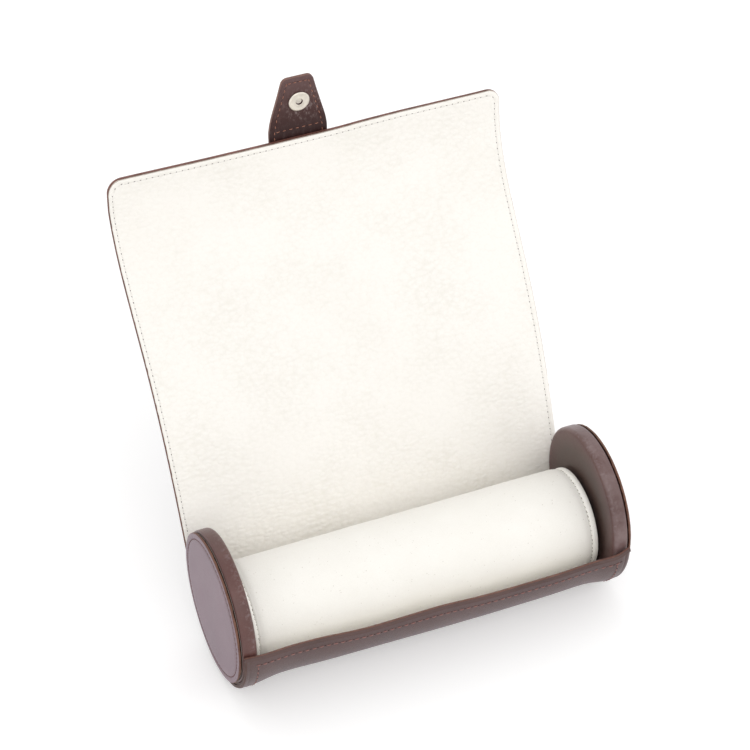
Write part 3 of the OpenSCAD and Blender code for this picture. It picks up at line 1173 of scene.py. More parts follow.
@dataclass
class SheetLine:
    """The line that the sheet's lined face follows, from the lip under the roll to the flap's free edge.

    A run is measured along the line from the place where the flap leaves the tray: negative in
    the tray, positive up the flap. The tables hold millimetres: places across, and lengths.
    """

    axis_z: float
    rim_r: float
    lip_angle: float
    leave_angle: float
    start: Array
    folds: Array
    end: Array
    tray_half: float
    flap_root_half: float
    flap_flare: float
    thickness: float = 3.0 * MM
    lining: float = 1.4 * MM
    corner: float = 7.5 * MM
    draw: float = 1.0 * MM
    draw_reach: float = 120 * MM
    tuck: float = 0.8 * MM
    tuck_inset: float = 4 * MM
    tuck_reach: float = 14 * MM
    tuck_half: float = 95 * MM
    leave_reach: float = 22 * MM
    step_reach: float = 3 * MM
    lip_reach: float = 28 * MM
    edge_reach: float = 30 * MM
    sink_end: float = 262
    sink_span: float = 30
    probe: float = 0.05 * MM
    sink_table: Pairs = (
        (-100, 0.0), (-95, 0.2), (-90, 0.85), (-84, 1.8), (-78, 2.0), (-69, 1.75), (-61, 1.4), (-54, 1.2),
        (-40, 0.95), (-30, 0.84), (0, 0.3), (30, 0.0), (60, 0.1), (67, 0.22), (75, 0.45), (80, 0.6),
        (85, 0.55), (88, 0.2), (91, -0.4), (95, -1.1), (98, -1.2), (101, -0.5),
    )  # fmt: skip
    dip_table: Pairs = (
        (-102, -1.5), (-96, -0.5), (-91, 0.5), (-84, 1.4), (-76, 1.3), (-61, 1.4), (-54, 2.2), (-46, 3.1),
        (-39, 3.6), (-31, 3.7), (-16, 3.3), (-1, 2.8), (6, 3.2), (14, 3.9), (22, 4.5), (37, 4.9), (60, 5.2),
        (67, 5.3), (78, 5.0), (86, 4.5), (91, 3.7), (97, 2.5), (100, 1.2), (102.5, -0.6),
    )  # fmt: skip
    pull_table: Pairs = (
        (-100, -0.8), (-92, -0.8), (-54, -1.3), (-25, -1.4), (17, -1.2), (30, -0.55), (52, -0.1), (91, -0.2),
        (100, -0.1),
    )  # fmt: skip

    def __post_init__(self) -> None:
        """Works out the leans of the straight lengths and the runs of their middles."""
        corners = np.vstack([self.start, self.folds, self.end])
        steps = np.diff(corners, axis=0)
        lengths = np.hypot(steps[:, 0], steps[:, 1])
        self.leans = np.unwrap(np.arctan2(steps[:, 1], steps[:, 0]))
        self.knots = (corners[:-1] + corners[1:]) / 2
        self.knots[0] = corners[0]
        self.tray_run = math.radians(360 + self.leave_angle - self.lip_angle) * self.rim_r
        self.arcs = []
        for length, turn in zip(lengths[1:], np.diff(self.leans)):
            self.arcs.append(length if abs(turn) < 1e-6 else length / 2 * turn / math.tan(turn / 2))
        self.knot_runs = np.concatenate([[0], np.cumsum(self.arcs)])
        self.free = self.knot_runs[-1] + lengths[-1] / 2

    def line(self, run: Array) -> tuple[Array, Array, Array]:
        """The lined face's line.

        Args:
            run: Runs along the sheet.

        Returns:
            y, z and the lean in radians at each run.
        """
        run = np.asarray(run, float)
        angle = math.radians(self.leave_angle) + run / self.rim_r
        near = np.clip(1 + run / self.leave_reach, 0, 1)
        start_r = np.hypot(self.start[0], self.start[1] - self.axis_z)
        radius = self.rim_r + (start_r - self.rim_r) * soft(near)
        tray = run < 0
        y = np.where(tray, radius * np.cos(angle), 0.0)
        z = np.where(tray, self.axis_z + radius * np.sin(angle), 0.0)
        lean = np.where(tray, angle + math.pi / 2, 0.0)
        for k, arc in enumerate(self.arcs):
            beyond = 1e-9 if k < len(self.arcs) - 1 else 1
            inside = (run >= self.knot_runs[k]) & (run <= self.knot_runs[k + 1] + beyond)
            turn = self.leans[k + 1] - self.leans[k]
            t = (run[inside] - self.knot_runs[k]) / arc
            straight = np.clip(t - 1, 0, None) * arc
            t = np.clip(t, 0, 1)
            half = turn * t / 2
            chord = arc * t * np.sinc(half / math.pi)
            heading = self.leans[k] + half
            lean[inside] = self.leans[k] + turn * t
            y[inside] = self.knots[k][0] + chord * np.cos(heading) + straight * np.cos(lean[inside])
            z[inside] = self.knots[k][1] + chord * np.sin(heading) + straight * np.sin(lean[inside])
        return y, z, lean

    def side(self, run: Array) -> Array:
        """Half the sheet's width at each run, before its corners are rounded."""
        flared = self.flap_root_half + self.flap_flare * np.clip(run, 0, None) / self.free
        return np.where(run < 0, self.tray_half, flared)

    def half_width(self, run: Array) -> Array:
        """Half the sheet's width at each run, with the free corners rounded.

        Args:
            run: Runs along the sheet.

        Returns:
            Half widths.
        """
        step = soft(np.clip(run / self.step_reach + 1, 0, 1))
        stepped = self.tray_half + (self.flap_root_half - self.tray_half) * step
        return np.where(run < 0, stepped, self.side(run)) - corner_cut(self.free - run, self.corner)

    def edge_distance(self, x: Array, run: Array) -> Array:
        """Distance inside the nearest cut edge of the sheet, at places across and along."""
        return corner_gap(self.side(run) - np.abs(x), self.free - run, self.corner)

    def sink(self, x: Array, run: Array) -> Array:
        """How far the sheet is pulled in towards the pillow between the round ends."""
        angle = np.degrees(run / self.rim_r) + 360 + self.leave_angle
        return eased(x, self.sink_table) * soft(np.clip((self.sink_end - angle) / self.sink_span, 0, 1))

    def relax(self, x: Array, run: Array) -> tuple[Array, Array]:
        """Moves places on the straight pattern to where the soft leather lies.

        Args:
            x: Places across.
            run: Places along.

        Returns:
            The moved places across and along.
        """
        drawn = self.draw * soft(np.clip(run / self.draw_reach, 0, 1))
        corner = fade(self.free - self.tuck_inset - run, self.tuck_reach)
        corner = corner * np.clip(-x / self.tuck_half, 0, 1) ** 3
        dip = eased(x, self.dip_table) * soft(fade(run + self.tray_run, self.lip_reach))
        pull = eased(x, self.pull_table) * soft(fade(self.free - run, self.edge_reach))
        return x + drawn + self.tuck * corner, run + dip + pull

    def place(self, x: Array, run: Array, depth: Array) -> Array:
        """Points of the sheet.

        Args:
            x: Places across.
            run: Places along.
            depth: Depths below the lined face.

        Returns:
            One row of x, y, z for each.
        """
        across, run = self.relax(x, run)
        y, z, lean = self.line(run)
        depth = depth - self.sink(x, run)
        return np.column_stack([across, y + depth * np.sin(lean), z - depth * np.cos(lean)])

    def frame_at(self, x: Array, run: Array, depth: Array) -> tuple[Array, Array, Array, Array]:
        """Points with their directions.

        Args:
            x: Places across.
            run: Places along.
            depth: Depths below the lined face.

        Returns:
            Points, directions across, directions along, and normals of the lined face.
        """
        step = self.probe
        across = (self.place(x + step, run, depth) - self.place(x - step, run, depth)) / (2 * step)
        along = (self.place(x, run + step, depth) - self.place(x, run - step, depth)) / (2 * step)
        normal = np.cross(across, along)
        normal /= np.linalg.norm(normal, axis=1, keepdims=True)
        return self.place(x, run, depth), across, along, normal


class Layer(Enum):
    """The two leathers of the sheet."""

    LINING = "lining"
    LEATHER = "leather"

    @property
    def slot(self) -> str:
        """The record's finish of this leather."""
        return "lining" if self is Layer.LINING else "shell_leather"


@dataclass
class Sheet:
    """The wrapping sheet: the tray's part, twelve bending lengths and the free edge, in two leathers.

    The two tables hold the distances of the lines near an edge, and the half width that they are for.
    """

    line: SheetLine
    palette: Palette
    strips: int = 12
    across: int = 72
    rows: int = 12
    tray_rows: int = 72
    corner_rows: int = 18
    bead_rows: int = 16
    edge_lines: tuple[float, ...] = (0, 0.25, 0.6, 1.1, 1.7, 2.2, 2.5, 2.8, 3.1, 3.6, 4.6, 6.2, 8.4)
    first_even_line: float = 11.0
    lines_half: float = 103.0
    lining_inset: float = 0.35 * MM
    inset_reach: float = 90 * MM
    ragged: float = 0.20 * MM
    ragged_rate: float = 380
    painted: float = 0.8 * MM
    crease_width: float = 0.55 * MM
    edge_roll: float = 1.7 * MM
    lining_drop: float = 0.55 * MM
    lining_crease: float = 0.12 * MM
    leather_crease: float = 0.2 * MM
    skive: float = 0.45 * MM
    skive_reach: float = 60 * MM
    hem: float = 0.35 * MM
    hem_reach: float = 0.6 * MM
    pitch: float = 3.1 * MM
    stitch_inset: float = 2.8 * MM
    left_stitch_inset: float = 2.2 * MM
    left_seam_x: float = -95 * MM
    lip_stitch_drop: float = 3.3 * MM
    end_stitch_inset: float = 6.6 * MM
    tray_pitch: float = 3.6 * MM
    tray_seam_end: float = -2 * MM
    crest: tuple[float, float] = (0.28, 0.62)
    bead_core: float = 0.55
    bead_reach: float = 0.95
    bead_gap: float = 0.02 * MM
    probe: float = 0.1 * MM

    def __post_init__(self) -> None:
        """Sets the lines across, as shares of the half width, close together near the edges."""
        edge = np.array(self.edge_lines) / self.lines_half
        inner = self.first_even_line / self.lines_half
        middle = np.linspace(-1 + inner, 1 - inner, self.across - 2 * len(edge) + 1)
        self.lines = np.concatenate([-1 + edge, middle, (1 - edge)[::-1]])

    def _depth(self, layer: Layer, top: Array, x: Array, run: Array) -> Array:
        """Depth of a layer's face, with its rounded edge and its sewn crease.

        Args:
            layer: Which leather.
            top: 0 for the face towards the roll, 1 for the one away from it.
            x: Places across.
            run: Places along.

        Returns:
            Depths below the lined face.
        """
        line = self.line
        gap = line.edge_distance(x, run)
        seam = np.where(x < self.left_seam_x, self.left_stitch_inset, self.stitch_inset)
        crease = ridge(gap, seam, self.crease_width)
        drop = fade(gap, self.edge_roll) ** 2
        if layer is Layer.LINING:
            return np.where(top < 0.5, self.lining_drop * drop + self.lining_crease * crease, line.lining)
        skive = self.skive * (1 + np.clip(x / self.skive_reach, 0, 1))
        back = line.thickness - skive * drop - self.leather_crease * crease
        return np.where(top < 0.5, line.lining - self.hem * fade(gap, self.hem_reach), back)

    def _length(self, name: str, layer: Layer, runs: Array) -> Piece:
        """Builds a length of one layer with its map, normals and materials.

        Args:
            name: The piece's name.
            layer: Which leather.
            runs: Runs of its rows.

        Returns:
            The length, not yet on a body.
        """
        obj = Bench.slab(name, self.across, len(runs) - 1)
        share, run, top = Bench.read(obj, self.lines, runs)
        half = self.line.half_width(run)
        x = share * half
        if layer is Layer.LINING:
            rate = self.ragged_rate
            ragged = [noise.noise(Vector((r * rate, side, 0))) for r, side in zip(run, np.sign(share))]
            low = np.clip(1 - np.abs(run) / self.inset_reach, 0.2, 1)
            inset = np.where(share < 0, self.lining_inset, low * self.lining_inset)
            x = share * (half - inset - self.ragged * np.array(ragged))
            run = np.minimum(run, self.line.free - self.lining_inset)
        Bench.put(obj, self.line.place(x, run, self._depth(layer, top, x, run)))
        obj.data.flip_normals()
        Bench.map_flat(obj, "sheet", x, run)
        self._dress(obj, layer, top, x, run)
        return obj

    def _dress(self, obj: Piece, layer: Layer, top: Array, x: Array, run: Array) -> None:
        """Gives a length its materials and the normals that run on into its neighbours.

        Args:
            obj: The length.
            layer: Which leather.
            top: Each vertex's face: 0 towards the roll, 1 away from it.
            x: Each vertex's place across.
            run: Each vertex's place along.
        """
        lined = layer is Layer.LINING
        flap_edge = self.palette["lining_edge_and_shade" if lined else "edge"]
        edge = self.palette["tray_edge"] if run.max() <= 0 else flap_edge
        Bench.paint(obj, self.palette["lining" if lined else "shell"], edge)

        def face_at(px: Array, prun: Array) -> Array:
            """Points of the same face at other places."""
            return self.line.place(px, prun, self._depth(layer, top, px, prun))

        across = face_at(x + self.probe, run) - face_at(x - self.probe, run)
        normal = np.cross(across, face_at(x, run + self.probe) - face_at(x, run - self.probe))
        normal /= np.maximum(np.linalg.norm(normal, axis=1, keepdims=True), 1e-12)
        normal = np.where(top[:, None] < 0.5, normal, -normal)
        mesh = obj.data
        custom = np.zeros((len(mesh.loops), 3))
        # On the lining, the thinnest border strip of the face takes the edge finish too: a thin grey line of
        # painted shade.
        border = self.line.edge_distance(x, run) < self.painted * (0.5 if lined else 1)
        for polygon in mesh.polygons:
            corners = list(polygon.vertices)
            cut = np.ptp(top[corners]) > 0.5
            polygon.material_index = int(cut or border[corners].all())
            span = slice(polygon.loop_start, polygon.loop_start + polygon.loop_total)
            custom[span] = polygon.normal if cut else normal[corners]
        mesh.polygons.foreach_set("use_smooth", np.ones(len(mesh.polygons), bool))
        mesh.normals_split_custom_set(custom.tolist())

    def _bend(self, obj: Piece, k: int, *labels: str) -> None:
        """Bakes a piece over fold k and reports the bodies on both sides of it."""
        Bench.bend(obj, strip_body(k - 1), strip_body(k), self.line.knots[k - 1 : k + 1], *labels)

    def _tray(self) -> None:
        """Builds the tray's part of the lining and of the leather."""
        runs = np.linspace(-self.line.tray_run, 0, self.tray_rows + 1)
        for layer in Layer:
            obj = self._length(f"tray_{layer.value}_sheet", layer, runs)
            Bench.finish(obj, Body.CASE.value, layer.slot, f"tray_{layer.value}")

    def _flap(self) -> None:
        """Builds the flap's bending lengths and its free edge with the rounded corners."""
        line, knots = self.line, self.line.knot_runs
        for k in range(1, self.strips + 1):
            for layer in Layer:
                runs = np.linspace(knots[k - 1], knots[k], self.rows + 1)
                obj = self._length(f"flap_length_{layer.value}_{k:02d}", layer, runs)
                self._bend(obj, k, layer.slot, f"flap_{layer.value}_{k:02d}")
        angle = np.linspace(0, math.pi / 2, self.corner_rows + 1)
        runs = np.concatenate([[knots[-1]], line.free - line.corner * (1 - np.sin(angle))])
        for layer in Layer:
            obj = self._length(f"flap_free_edge_{layer.value}", layer, runs)
            Bench.finish(obj, strip_body(self.strips), layer.slot)

    def _lip(self) -> None:
        """Builds the bead of leather that is turned over the lip, with a lighter band along its crest."""
        obj = Bench.slab("lip_bead", self.across, self.bead_rows)
        share, angle, top = Bench.read(obj, self.lines, np.array([0, math.pi]))
        x = share * self.line.tray_half
        middle = self.line.thickness / 2
        radius = np.where(top < 0.5, middle * self.bead_core, middle)
        start = np.full_like(x, -self.line.tray_run)
        ahead = self.bead_gap - radius * np.sin(angle) * self.bead_reach
        _, _, lean = self.line.line(self.line.relax(x, start)[1])
        forward = np.column_stack([np.zeros_like(x), np.cos(lean), np.sin(lean)])
        depth = middle - radius * np.cos(angle)
        Bench.put(obj, self.line.place(x, start, depth) + ahead[:, None] * forward)
        Bench.map_flat(obj, "sheet", x, start + ahead)
        Bench.paint(obj, self.palette["shell"], self.palette["lip"])
        low, high = (share * math.pi for share in self.crest)
        for polygon in obj.data.polygons:
            polygon.material_index = int(all(low < angle[v] < high for v in polygon.vertices))
        Bench.face_out(obj)
        Bench.smooth(obj, 50)
        Bench.finish(obj, Body.CASE.value, "shell_leather")

    def _stitch_places(self) -> tuple[Array, Array]:
        """Places of the stitches round the flap's edges.

        Returns:
            Rows of (x, run), and rows of their direction (x, run).
        """
        line, inset, pitch = self.line, self.stitch_inset, self.pitch
        side_end = line.free - line.corner
        runs = np.arange(0.5 * pitch, side_end, pitch)
        half = line.side(runs)
        places = [np.column_stack([x, runs]) for x in (self.left_stitch_inset - half, half - inset)]
        aims = [np.tile([0.0, 1.0], (len(runs), 1))] * 2
        edge = line.flap_root_half + line.flap_flare - line.corner
        bend = line.corner - inset
        turns = np.radians([22.5, 67.5])
        for s in (-1, 1):
            x = s * (edge + bend * np.cos(turns))
            places.append(np.column_stack([x, side_end + bend * np.sin(turns)]))
            aims.append(np.column_stack([-s * np.sin(turns), np.cos(turns)]))
        count = int(2 * edge / pitch)
        xs = np.linspace(-edge + pitch / 2, edge - pitch / 2, count)
        places.append(np.column_stack([xs, np.full(count, line.free - inset)]))
        aims.append(np.tile([1.0, 0.0], (count, 1)))
        return np.vstack(places), np.vstack(aims)

    def _sew_flap(self) -> None:
        """Sews the flap's edges, one piece of thread for each bending length and leather."""
        places, aims = self._stitch_places()
        knots = [*self.line.knot_runs, 1.0]
        threads = {Layer.LINING: ("pale_thread", "pale_hole"), Layer.LEATHER: ("brown_thread", "hole")}
        for layer, looks in threads.items():
            lined = layer is Layer.LINING
            depth = self._depth(layer, np.full(len(places), 0.0 if lined else 1.0), *places.T)
            centre, across, along, normal = self.line.frame_at(*places.T, depth)
            aim = aims[:, :1] * across + aims[:, 1:] * along
            out = normal if lined else -normal
            for k in range(1, self.strips + 2):
                mine = (places[:, 1] >= knots[k - 1]) & (places[:, 1] < knots[k])
                name = f"flap_thread_{layer.value}_{k:02d}"
                materials = (self.palette[look] for look in looks)
                obj = Sewing(self.pitch).sew(name, centre[mine], aim[mine], out[mine], *materials)
                if k <= self.strips:
                    self._bend(obj, k)
                else:
                    Bench.finish(obj, strip_body(self.strips))

    def _sew_tray(self) -> None:
        """Sews the lip and the tray's two ends."""
        line, pitch = self.line, self.tray_pitch
        start = -line.tray_run + self.lip_stitch_drop
        edge = line.tray_half - self.end_stitch_inset
        count = int(2 * edge / pitch)
        places = [np.column_stack([np.linspace(-edge, edge, count), np.full(count, start)])]
        aims = [np.tile([1.0, 0.0], (count, 1))]
        runs = np.arange(start + pitch * 0.7, self.tray_seam_end, pitch)
        for s in (-1, 1):
            places.append(np.column_stack([np.full(len(runs), s * edge), runs]))
            aims.append(np.tile([0.0, 1.0], (len(runs), 1)))
        spots, aims = np.vstack(places), np.vstack(aims)
        depth = self._depth(Layer.LEATHER, np.ones(len(spots)), *spots.T)
        centre, across, along, normal = line.frame_at(*spots.T, depth)
        aim = aims[:, :1] * across + aims[:, 1:] * along
        sewing = Sewing(pitch, length=2.5 * MM, width=0.7 * MM, height=0.55 * MM, lift=0.25)
        thread, hole = self.palette["brown_thread"], self.palette["hole"]
        Bench.finish(sewing.sew("tray_thread", centre, aim, -normal, thread, hole), Body.CASE.value)

    def build(self) -> None:
        """Builds the whole sheet."""
        self._tray()
        self._lip()
        self._flap()
        self._sew_flap()
        self._sew_tray()


# ------------ round ends


@dataclass
class RoundEnd:
    """One end: a covered board with a rolled rim, and the stitched disc on its outside.

    The tables hold millimetres from the corners that _rim and _disc name, as (radius, x).
    """

    side: Side
    palette: Palette
    axis_z: float
    rim_r: float
    inner_x: float
    back_x: float
    outer_x: float
    face_r: float
    rim_round: float = 2.2 * MM
    back_round: float = 1.2 * MM
    back_sink: float = 0.25 * MM
    hollow: Pairs = ((0.0, 0.25), (0.55, 0.22), (0.8, 0.12))
    rim_border: float = 1.8 * MM
    rim_crown: float = 0.05 * MM
    back_edge: float = 1.4 * MM
    back_lift: float = 0.1 * MM
    back_border: float = 2.6 * MM
    groove_depth: float = 1.4 * MM
    groove_height: float = 0.62 * MM
    flange_inset: float = 0.9 * MM
    disc_edge: Pairs = ((-0.03, -0.5), (-0.22, -0.26), (-0.9, -0.16))
    disc_crease: Pairs = (
        (1.0, -0.13), (0.45, -0.25), (0.0, -0.40), (-0.45, -0.24), (-1.2, -0.08), (-4.0, -0.01),
    )  # fmt: skip
    disc_back: Pairs = ((-0.25, 0.0), (0.0, 0.2))
    disc_seat: float = 0.15 * MM
    flange_x: float = 0.1 * MM
    neck_x: float = 0.14 * MM
    neck_round: float = 0.1 * MM
    stitch_inset: float = 3.2 * MM
    stitch_sink: float = 0.40 * MM
    pitch: float = 2.9 * MM
    fray: float = 0.10 * MM
    fray_reach: float = 0.6 * MM
    fray_waves: float = 11
    fray_rate: float = 900
    fray_shift: float = 3.0
    jag: float = 0.30 * MM

    def _turned(self, name: str, profile: Pairs, steps: int) -> Piece:
        """Turns a profile that is given for the right end."""
        points = [(radius, self.side.value * x) for radius, x in profile]
        return Bench.lathe(f"{self.side.word}_{name}", points, self.axis_z, steps)

    def _rim(self) -> None:
        """Builds the leather that covers the board's inner face and rolls over its rim."""
        r, x0, x1, e = self.rim_r, self.inner_x, self.back_x, self.rim_round
        profile = [(r * share, x0 + depth * MM) for share, depth in self.hollow] 
        profile.append((r - e - self.rim_border, x0))
        for a in np.radians(np.arange(0, 91, 11.25)):
            profile.append((r - e + e * math.sin(a), x0 + e - e * math.cos(a)))
        profile += [(r + self.rim_crown, (x0 + x1) / 2), (r, x1 - self.back_edge)]
        b = self.back_round
        for a in np.radians(np.arange(15, 91, 15)):
            profile.append((r - b + b * math.cos(a), x1 - b + (b - self.back_lift) * math.sin(a)))
        profile += [(radius, x1 - self.back_sink) for radius in (r - self.back_border, r * 0.5, 0.0)]
        obj = self._turned("rim_cover", profile, 128)
        Bench.paint(obj, self.palette["rim"])
        Bench.smooth(obj, 40)
        Bench.finish(obj, Body.CASE.value, "rim_leather", f"{self.side.word}_end_cover")

    def _disc(self) -> None:
        """Builds the stitched disc with its raw edge and the groove that its seam presses, painted near-black
        as shade.
        """
        r, x1, x2 = self.face_r, self.back_x, self.outer_x
        neck, lower = r - self.groove_depth, x1 + self.groove_height
        base = r - self.flange_inset
        profile = [(0.0, x1 - self.disc_seat), (base, x1 - self.disc_seat)]
        profile += [(base, x1 + self.flange_x), (neck, x1 + self.neck_x)]
        profile += [(neck + self.neck_round, lower - self.neck_round)] + offsets(r, lower, self.disc_back)
        profile += offsets(r, x2, self.disc_edge) + offsets(r - self.stitch_inset, x2, self.disc_crease)
        profile += [(r * 0.5, x2), (0.0, x2)]
        obj = self._turned("face_disc", profile, 160)
        Bench.paint(obj, *(self.palette[look] for look in ("face", "raw_edge", "groove")))
        for polygon in obj.data.polygons:
            centre = polygon.center
            # The disc's back and neck in the groove are painted near-black: painted shade.
            if abs(centre.x) < lower + 0.02 * MM:
                polygon.material_index = 2
            elif math.hypot(centre.y, centre.z - self.axis_z) > r - 0.3 * MM:
                polygon.material_index = 1
        self._fray(obj, lower + 0.3 * MM)
        Bench.smooth(obj, 40)
        Bench.finish(obj, Body.CASE.value, "face_leather", f"{self.side.word}_end_face")

    def _fray(self, obj: Piece, jagged_x: float) -> None:
        """Makes the disc's cut edge uneven.

        Args:
            obj: The disc.
            jagged_x: How far out its back edge is jagged as well.
        """
        co = Bench.points(obj)
        y, z = co[:, 1], co[:, 2] - self.axis_z
        rise, angle = np.hypot(y, z), np.arctan2(z, y)
        edge = rise > self.face_r - self.fray_reach
        round_trip = np.cos(angle) * self.fray_waves, np.sin(angle) * self.fray_waves
        spots = np.column_stack([*round_trip, self.side.value * self.fray_shift + co[:, 0] * self.fray_rate])
        uneven = np.array([noise.noise(Vector(spot)) for spot in spots])
        scale = 1 + np.where(edge, uneven * self.fray / np.maximum(rise, 1e-6), 0)
        co[:, 0] += np.where(edge & (np.abs(co[:, 0]) < jagged_x), uneven * self.jag, 0)
        co[:, 1] *= scale
        co[:, 2] = self.axis_z + z * scale
        Bench.put(obj, co)

    def _sew(self) -> None:
        """Sews the disc's seam."""
        seam = self.face_r - self.stitch_inset
        count = int(2 * math.pi * seam / self.pitch)
        _, outward, along = ring(count)
        centres = seam * outward + [self.side.value * (self.outer_x - self.stitch_sink), 0, self.axis_z]
        out = np.tile([float(self.side.value), 0, 0], (count, 1))
        sewing = Sewing(self.pitch, length=2.1 * MM, height=0.40 * MM, lift=0.3)
        materials = self.palette["dark_thread"], self.palette["hole"]
        obj = sewing.sew(f"{self.side.word}_face_thread", centres, along, out, *materials)
        Bench.finish(obj, Body.CASE.value)

    def build(self) -> None:
        """Builds the end."""
        self._rim()
        self._disc()
        self._sew()
        Bench.dress(f"{self.side.word}_end_core", self.palette["board"])


# ------------ tab and snap


@dataclass(frozen=True)
class Stretch:
    """One stretch of the tab: its name, rows, bodies at both ends, and the solid that it stands for."""

    word: str
    rows: Array
    before: str
    after: str
    node: Optional[str]


@dataclass
class Tab:
    """The closing tab: two leathers sewn together, a stitched root on the flap, and the snap's socket."""

    line: SheetLine
    palette: Palette
    lap: float = 12 * MM
    length: float = 33.1 * MM
    offset: float = -2.5 * MM
    leather: float = 1.2 * MM
    fold_offset: float = 0.8 * MM
    neck: float = 10.2 * MM
    corner: float = 2.7 * MM
    neck_lean: float = 88
    tip_lean: float = 92
    snap_reach: float = 19 * MM
    snap_x: float = -2 * MM
    ease: float = 4 * MM
    stitch_inset: float = 2.7 * MM
    foot_seam: float = 2.4 * MM
    pitch: float = 3.4 * MM
    crease: float = 0.16 * MM
    crease_width: float = 0.5 * MM
    edge_roll: float = 1.4 * MM
    outer_drop: float = 0.42 * MM
    inner_drop: float = 0.36 * MM
    foot_gap: float = 0.3 * MM
    tip_stitches: int = 4
    tip_gap: float = 0.45
    lap_short: float = 4 * MM
    tip_ahead: float = 5 * MM
    root_lines: tuple[float, ...] = (0, 0.4, 1.0)
    first_even_row: float = 1.8 * MM
    across: int = 34
    edge_lines: tuple[float, ...] = (0, 0.02, 0.05, 0.09, 0.14, 0.18, 0.22, 0.27)
    first_even_line: float = 0.66
    side_table: Pairs = (
        (0, 15.3), (12, 15.3), (14.5, 15.25), (17, 14.9), (20, 14.35), (24, 13.3), (30, 11.65), (36, 10.05),
        (42, 8.55), (45.1, 7.8),
    )  # fmt: skip

    def __post_init__(self) -> None:
        """Works out the tab's line in the side view, its lines across and its stretches."""
        lean = self.line.leans[-1]
        out = np.array([math.sin(lean), -math.cos(lean)]) * self.line.thickness
        lap_ahead = np.array([math.cos(lean), math.sin(lean)])
        self.leans = np.array([lean, math.radians(self.neck_lean), math.radians(self.tip_lean)])
        ahead = [np.array([math.cos(a), math.sin(a)]) for a in self.leans]
        fold_1 = self.line.end + self.fold_offset * lap_ahead + out
        fold_2 = fold_1 + self.neck * ahead[1]
        end = fold_2 + (self.length - self.fold_offset - self.neck) * ahead[2]
        self.corners = np.vstack([self.line.end - self.lap * lap_ahead + out, fold_1, fold_2, end])
        first = self.lap + self.fold_offset
        self.marks = np.array([0, first, first + self.neck, self.lap + self.length])
        edge = np.array(self.edge_lines)
        count = self.across + 1 - 2 * len(edge)
        middle = np.linspace(-self.first_even_line, self.first_even_line, count)
        self.lines = np.concatenate([-1 + edge, middle, (1 - edge)[::-1]])
        self.stretches = self._cut()

    def _cut(self) -> list[Stretch]:
        """Cuts the tab into its rigid ends and its two bends.

        Returns:
            The four stretches, from the flap to the tip.
        """
        m = self.marks
        lap_end, neck_middle, tip_start = m[1] - self.lap_short, m[1] + self.neck / 2, m[2] + self.tip_ahead
        flap, neck, tip = strip_body(12), Body.NECK.value, Body.TIP.value
        even_rows = np.linspace(self.first_even_row, lap_end, 8)
        root_rows = np.concatenate([np.array(self.root_lines) * MM, even_rows])
        round_rows = m[3] - self.corner * (1 - np.sin(np.linspace(0, math.pi / 2, 12)))
        tip_rows = np.concatenate([np.linspace(tip_start, m[3] - self.corner, 14)[:-1], round_rows])
        return [
            Stretch("lap", root_rows, flap, flap, "root"),
            Stretch("first_bend", np.linspace(lap_end, neck_middle, 9), flap, neck, "neck"),
            Stretch("second_bend", np.linspace(neck_middle, tip_start, 9), neck, tip, None),
            Stretch("end", tip_rows, tip, tip, "tip"),
        ]

    def spine(self, run: Array) -> tuple[Array, Array, Array]:
        """The tab's inner face in the side view.

        Args:
            run: Runs from the sewn end.

        Returns:
            y, z and the lean at each run.
        """
        y, z = (np.interp(run, self.marks, self.corners[:, i]) for i in (0, 1))
        lean = self.leans[0]
        for i in (1, 2):
            share = np.clip((run - self.marks[i] + self.ease) / (2 * self.ease), 0, 1)
            lean = lean + (self.leans[i] - self.leans[i - 1]) * share
        return y, z, lean

    def side(self, run: Array) -> Array:
        """Half the tab's width at each run, before its corners are rounded."""
        return np.interp(run / MM, *zip(*self.side_table)) * MM

    def half(self, run: Array) -> Array:
        """Half the tab's width at each run, with its round corners."""
        return self.side(run) - corner_cut(self.marks[-1] - run, self.corner)

    def place(self, x: Array, run: Array, depth: Array) -> Array:
        """Points of the tab."""
        y, z, lean = self.spine(run)
        return np.column_stack([x + self.offset, y + depth * np.sin(lean), z - depth * np.cos(lean)])

    def edge_distance(self, x: Array, run: Array) -> Array:
        """Distance inside the tab's cut edge, at places across and along."""
        gap = corner_gap(self.side(run) - np.abs(x), self.marks[-1] - run, self.corner)
        return np.minimum(gap, run + self.foot_gap)

    def _leather(self, stretch: Stretch, outer: bool) -> None:
        """Builds one leather of one stretch.

        Args:
            stretch: Which stretch.
            outer: True for the leather away from the roll.
        """
        word = "outer" if outer else "inner"
        obj = Bench.slab(f"tab_{word}_{stretch.word}", self.across, len(stretch.rows) - 1)
        share, run, top = Bench.read(obj, self.lines, stretch.rows)
        x = share * self.half(run)
        gap = self.edge_distance(x, run)
        drop = fade(gap, self.edge_roll) ** 2
        crease = self.crease * ridge(gap, self.stitch_inset, self.crease_width)
        if outer:
            depth = np.where(top < 0.5, self.leather, 2 * self.leather - self.outer_drop * drop - crease)
        else:
            depth = np.where(top < 0.5, self.inner_drop * drop + crease, self.leather)
        Bench.put(obj, self.place(x, run, depth))
        obj.data.flip_normals()
        Bench.map_flat(obj, "tab", x, run)
        Bench.paint(obj, self.palette["tab"], self.palette["tab_edge"])
        for polygon in obj.data.polygons:
            polygon.material_index = int(np.ptp(top[list(polygon.vertices)]) > 0.5)
        Bench.smooth(obj, 35)
        self._settle(obj, stretch, "tab_leather", *([f"tab_{word}_{stretch.node}"] if stretch.node else []))

    def _settle(self, obj: Piece, stretch: Stretch, *labels: str) -> None:
        """Sets a piece on its stretch's body, or bakes it and reports the two bodies that it spans.

        Args:
            obj: The piece.
            stretch: The stretch that it belongs to.
            labels: The record's finish and the plain solid that it stands for, if it has them.
        """
        if stretch.before == stretch.after:
            Bench.finish(obj, stretch.before, *labels)
            return
        y, z, _ = self.spine(stretch.rows[[0, -1]])
        Bench.bend(obj, stretch.before, stretch.after, ((y[0], z[0]), (y[1], z[1])), *labels)

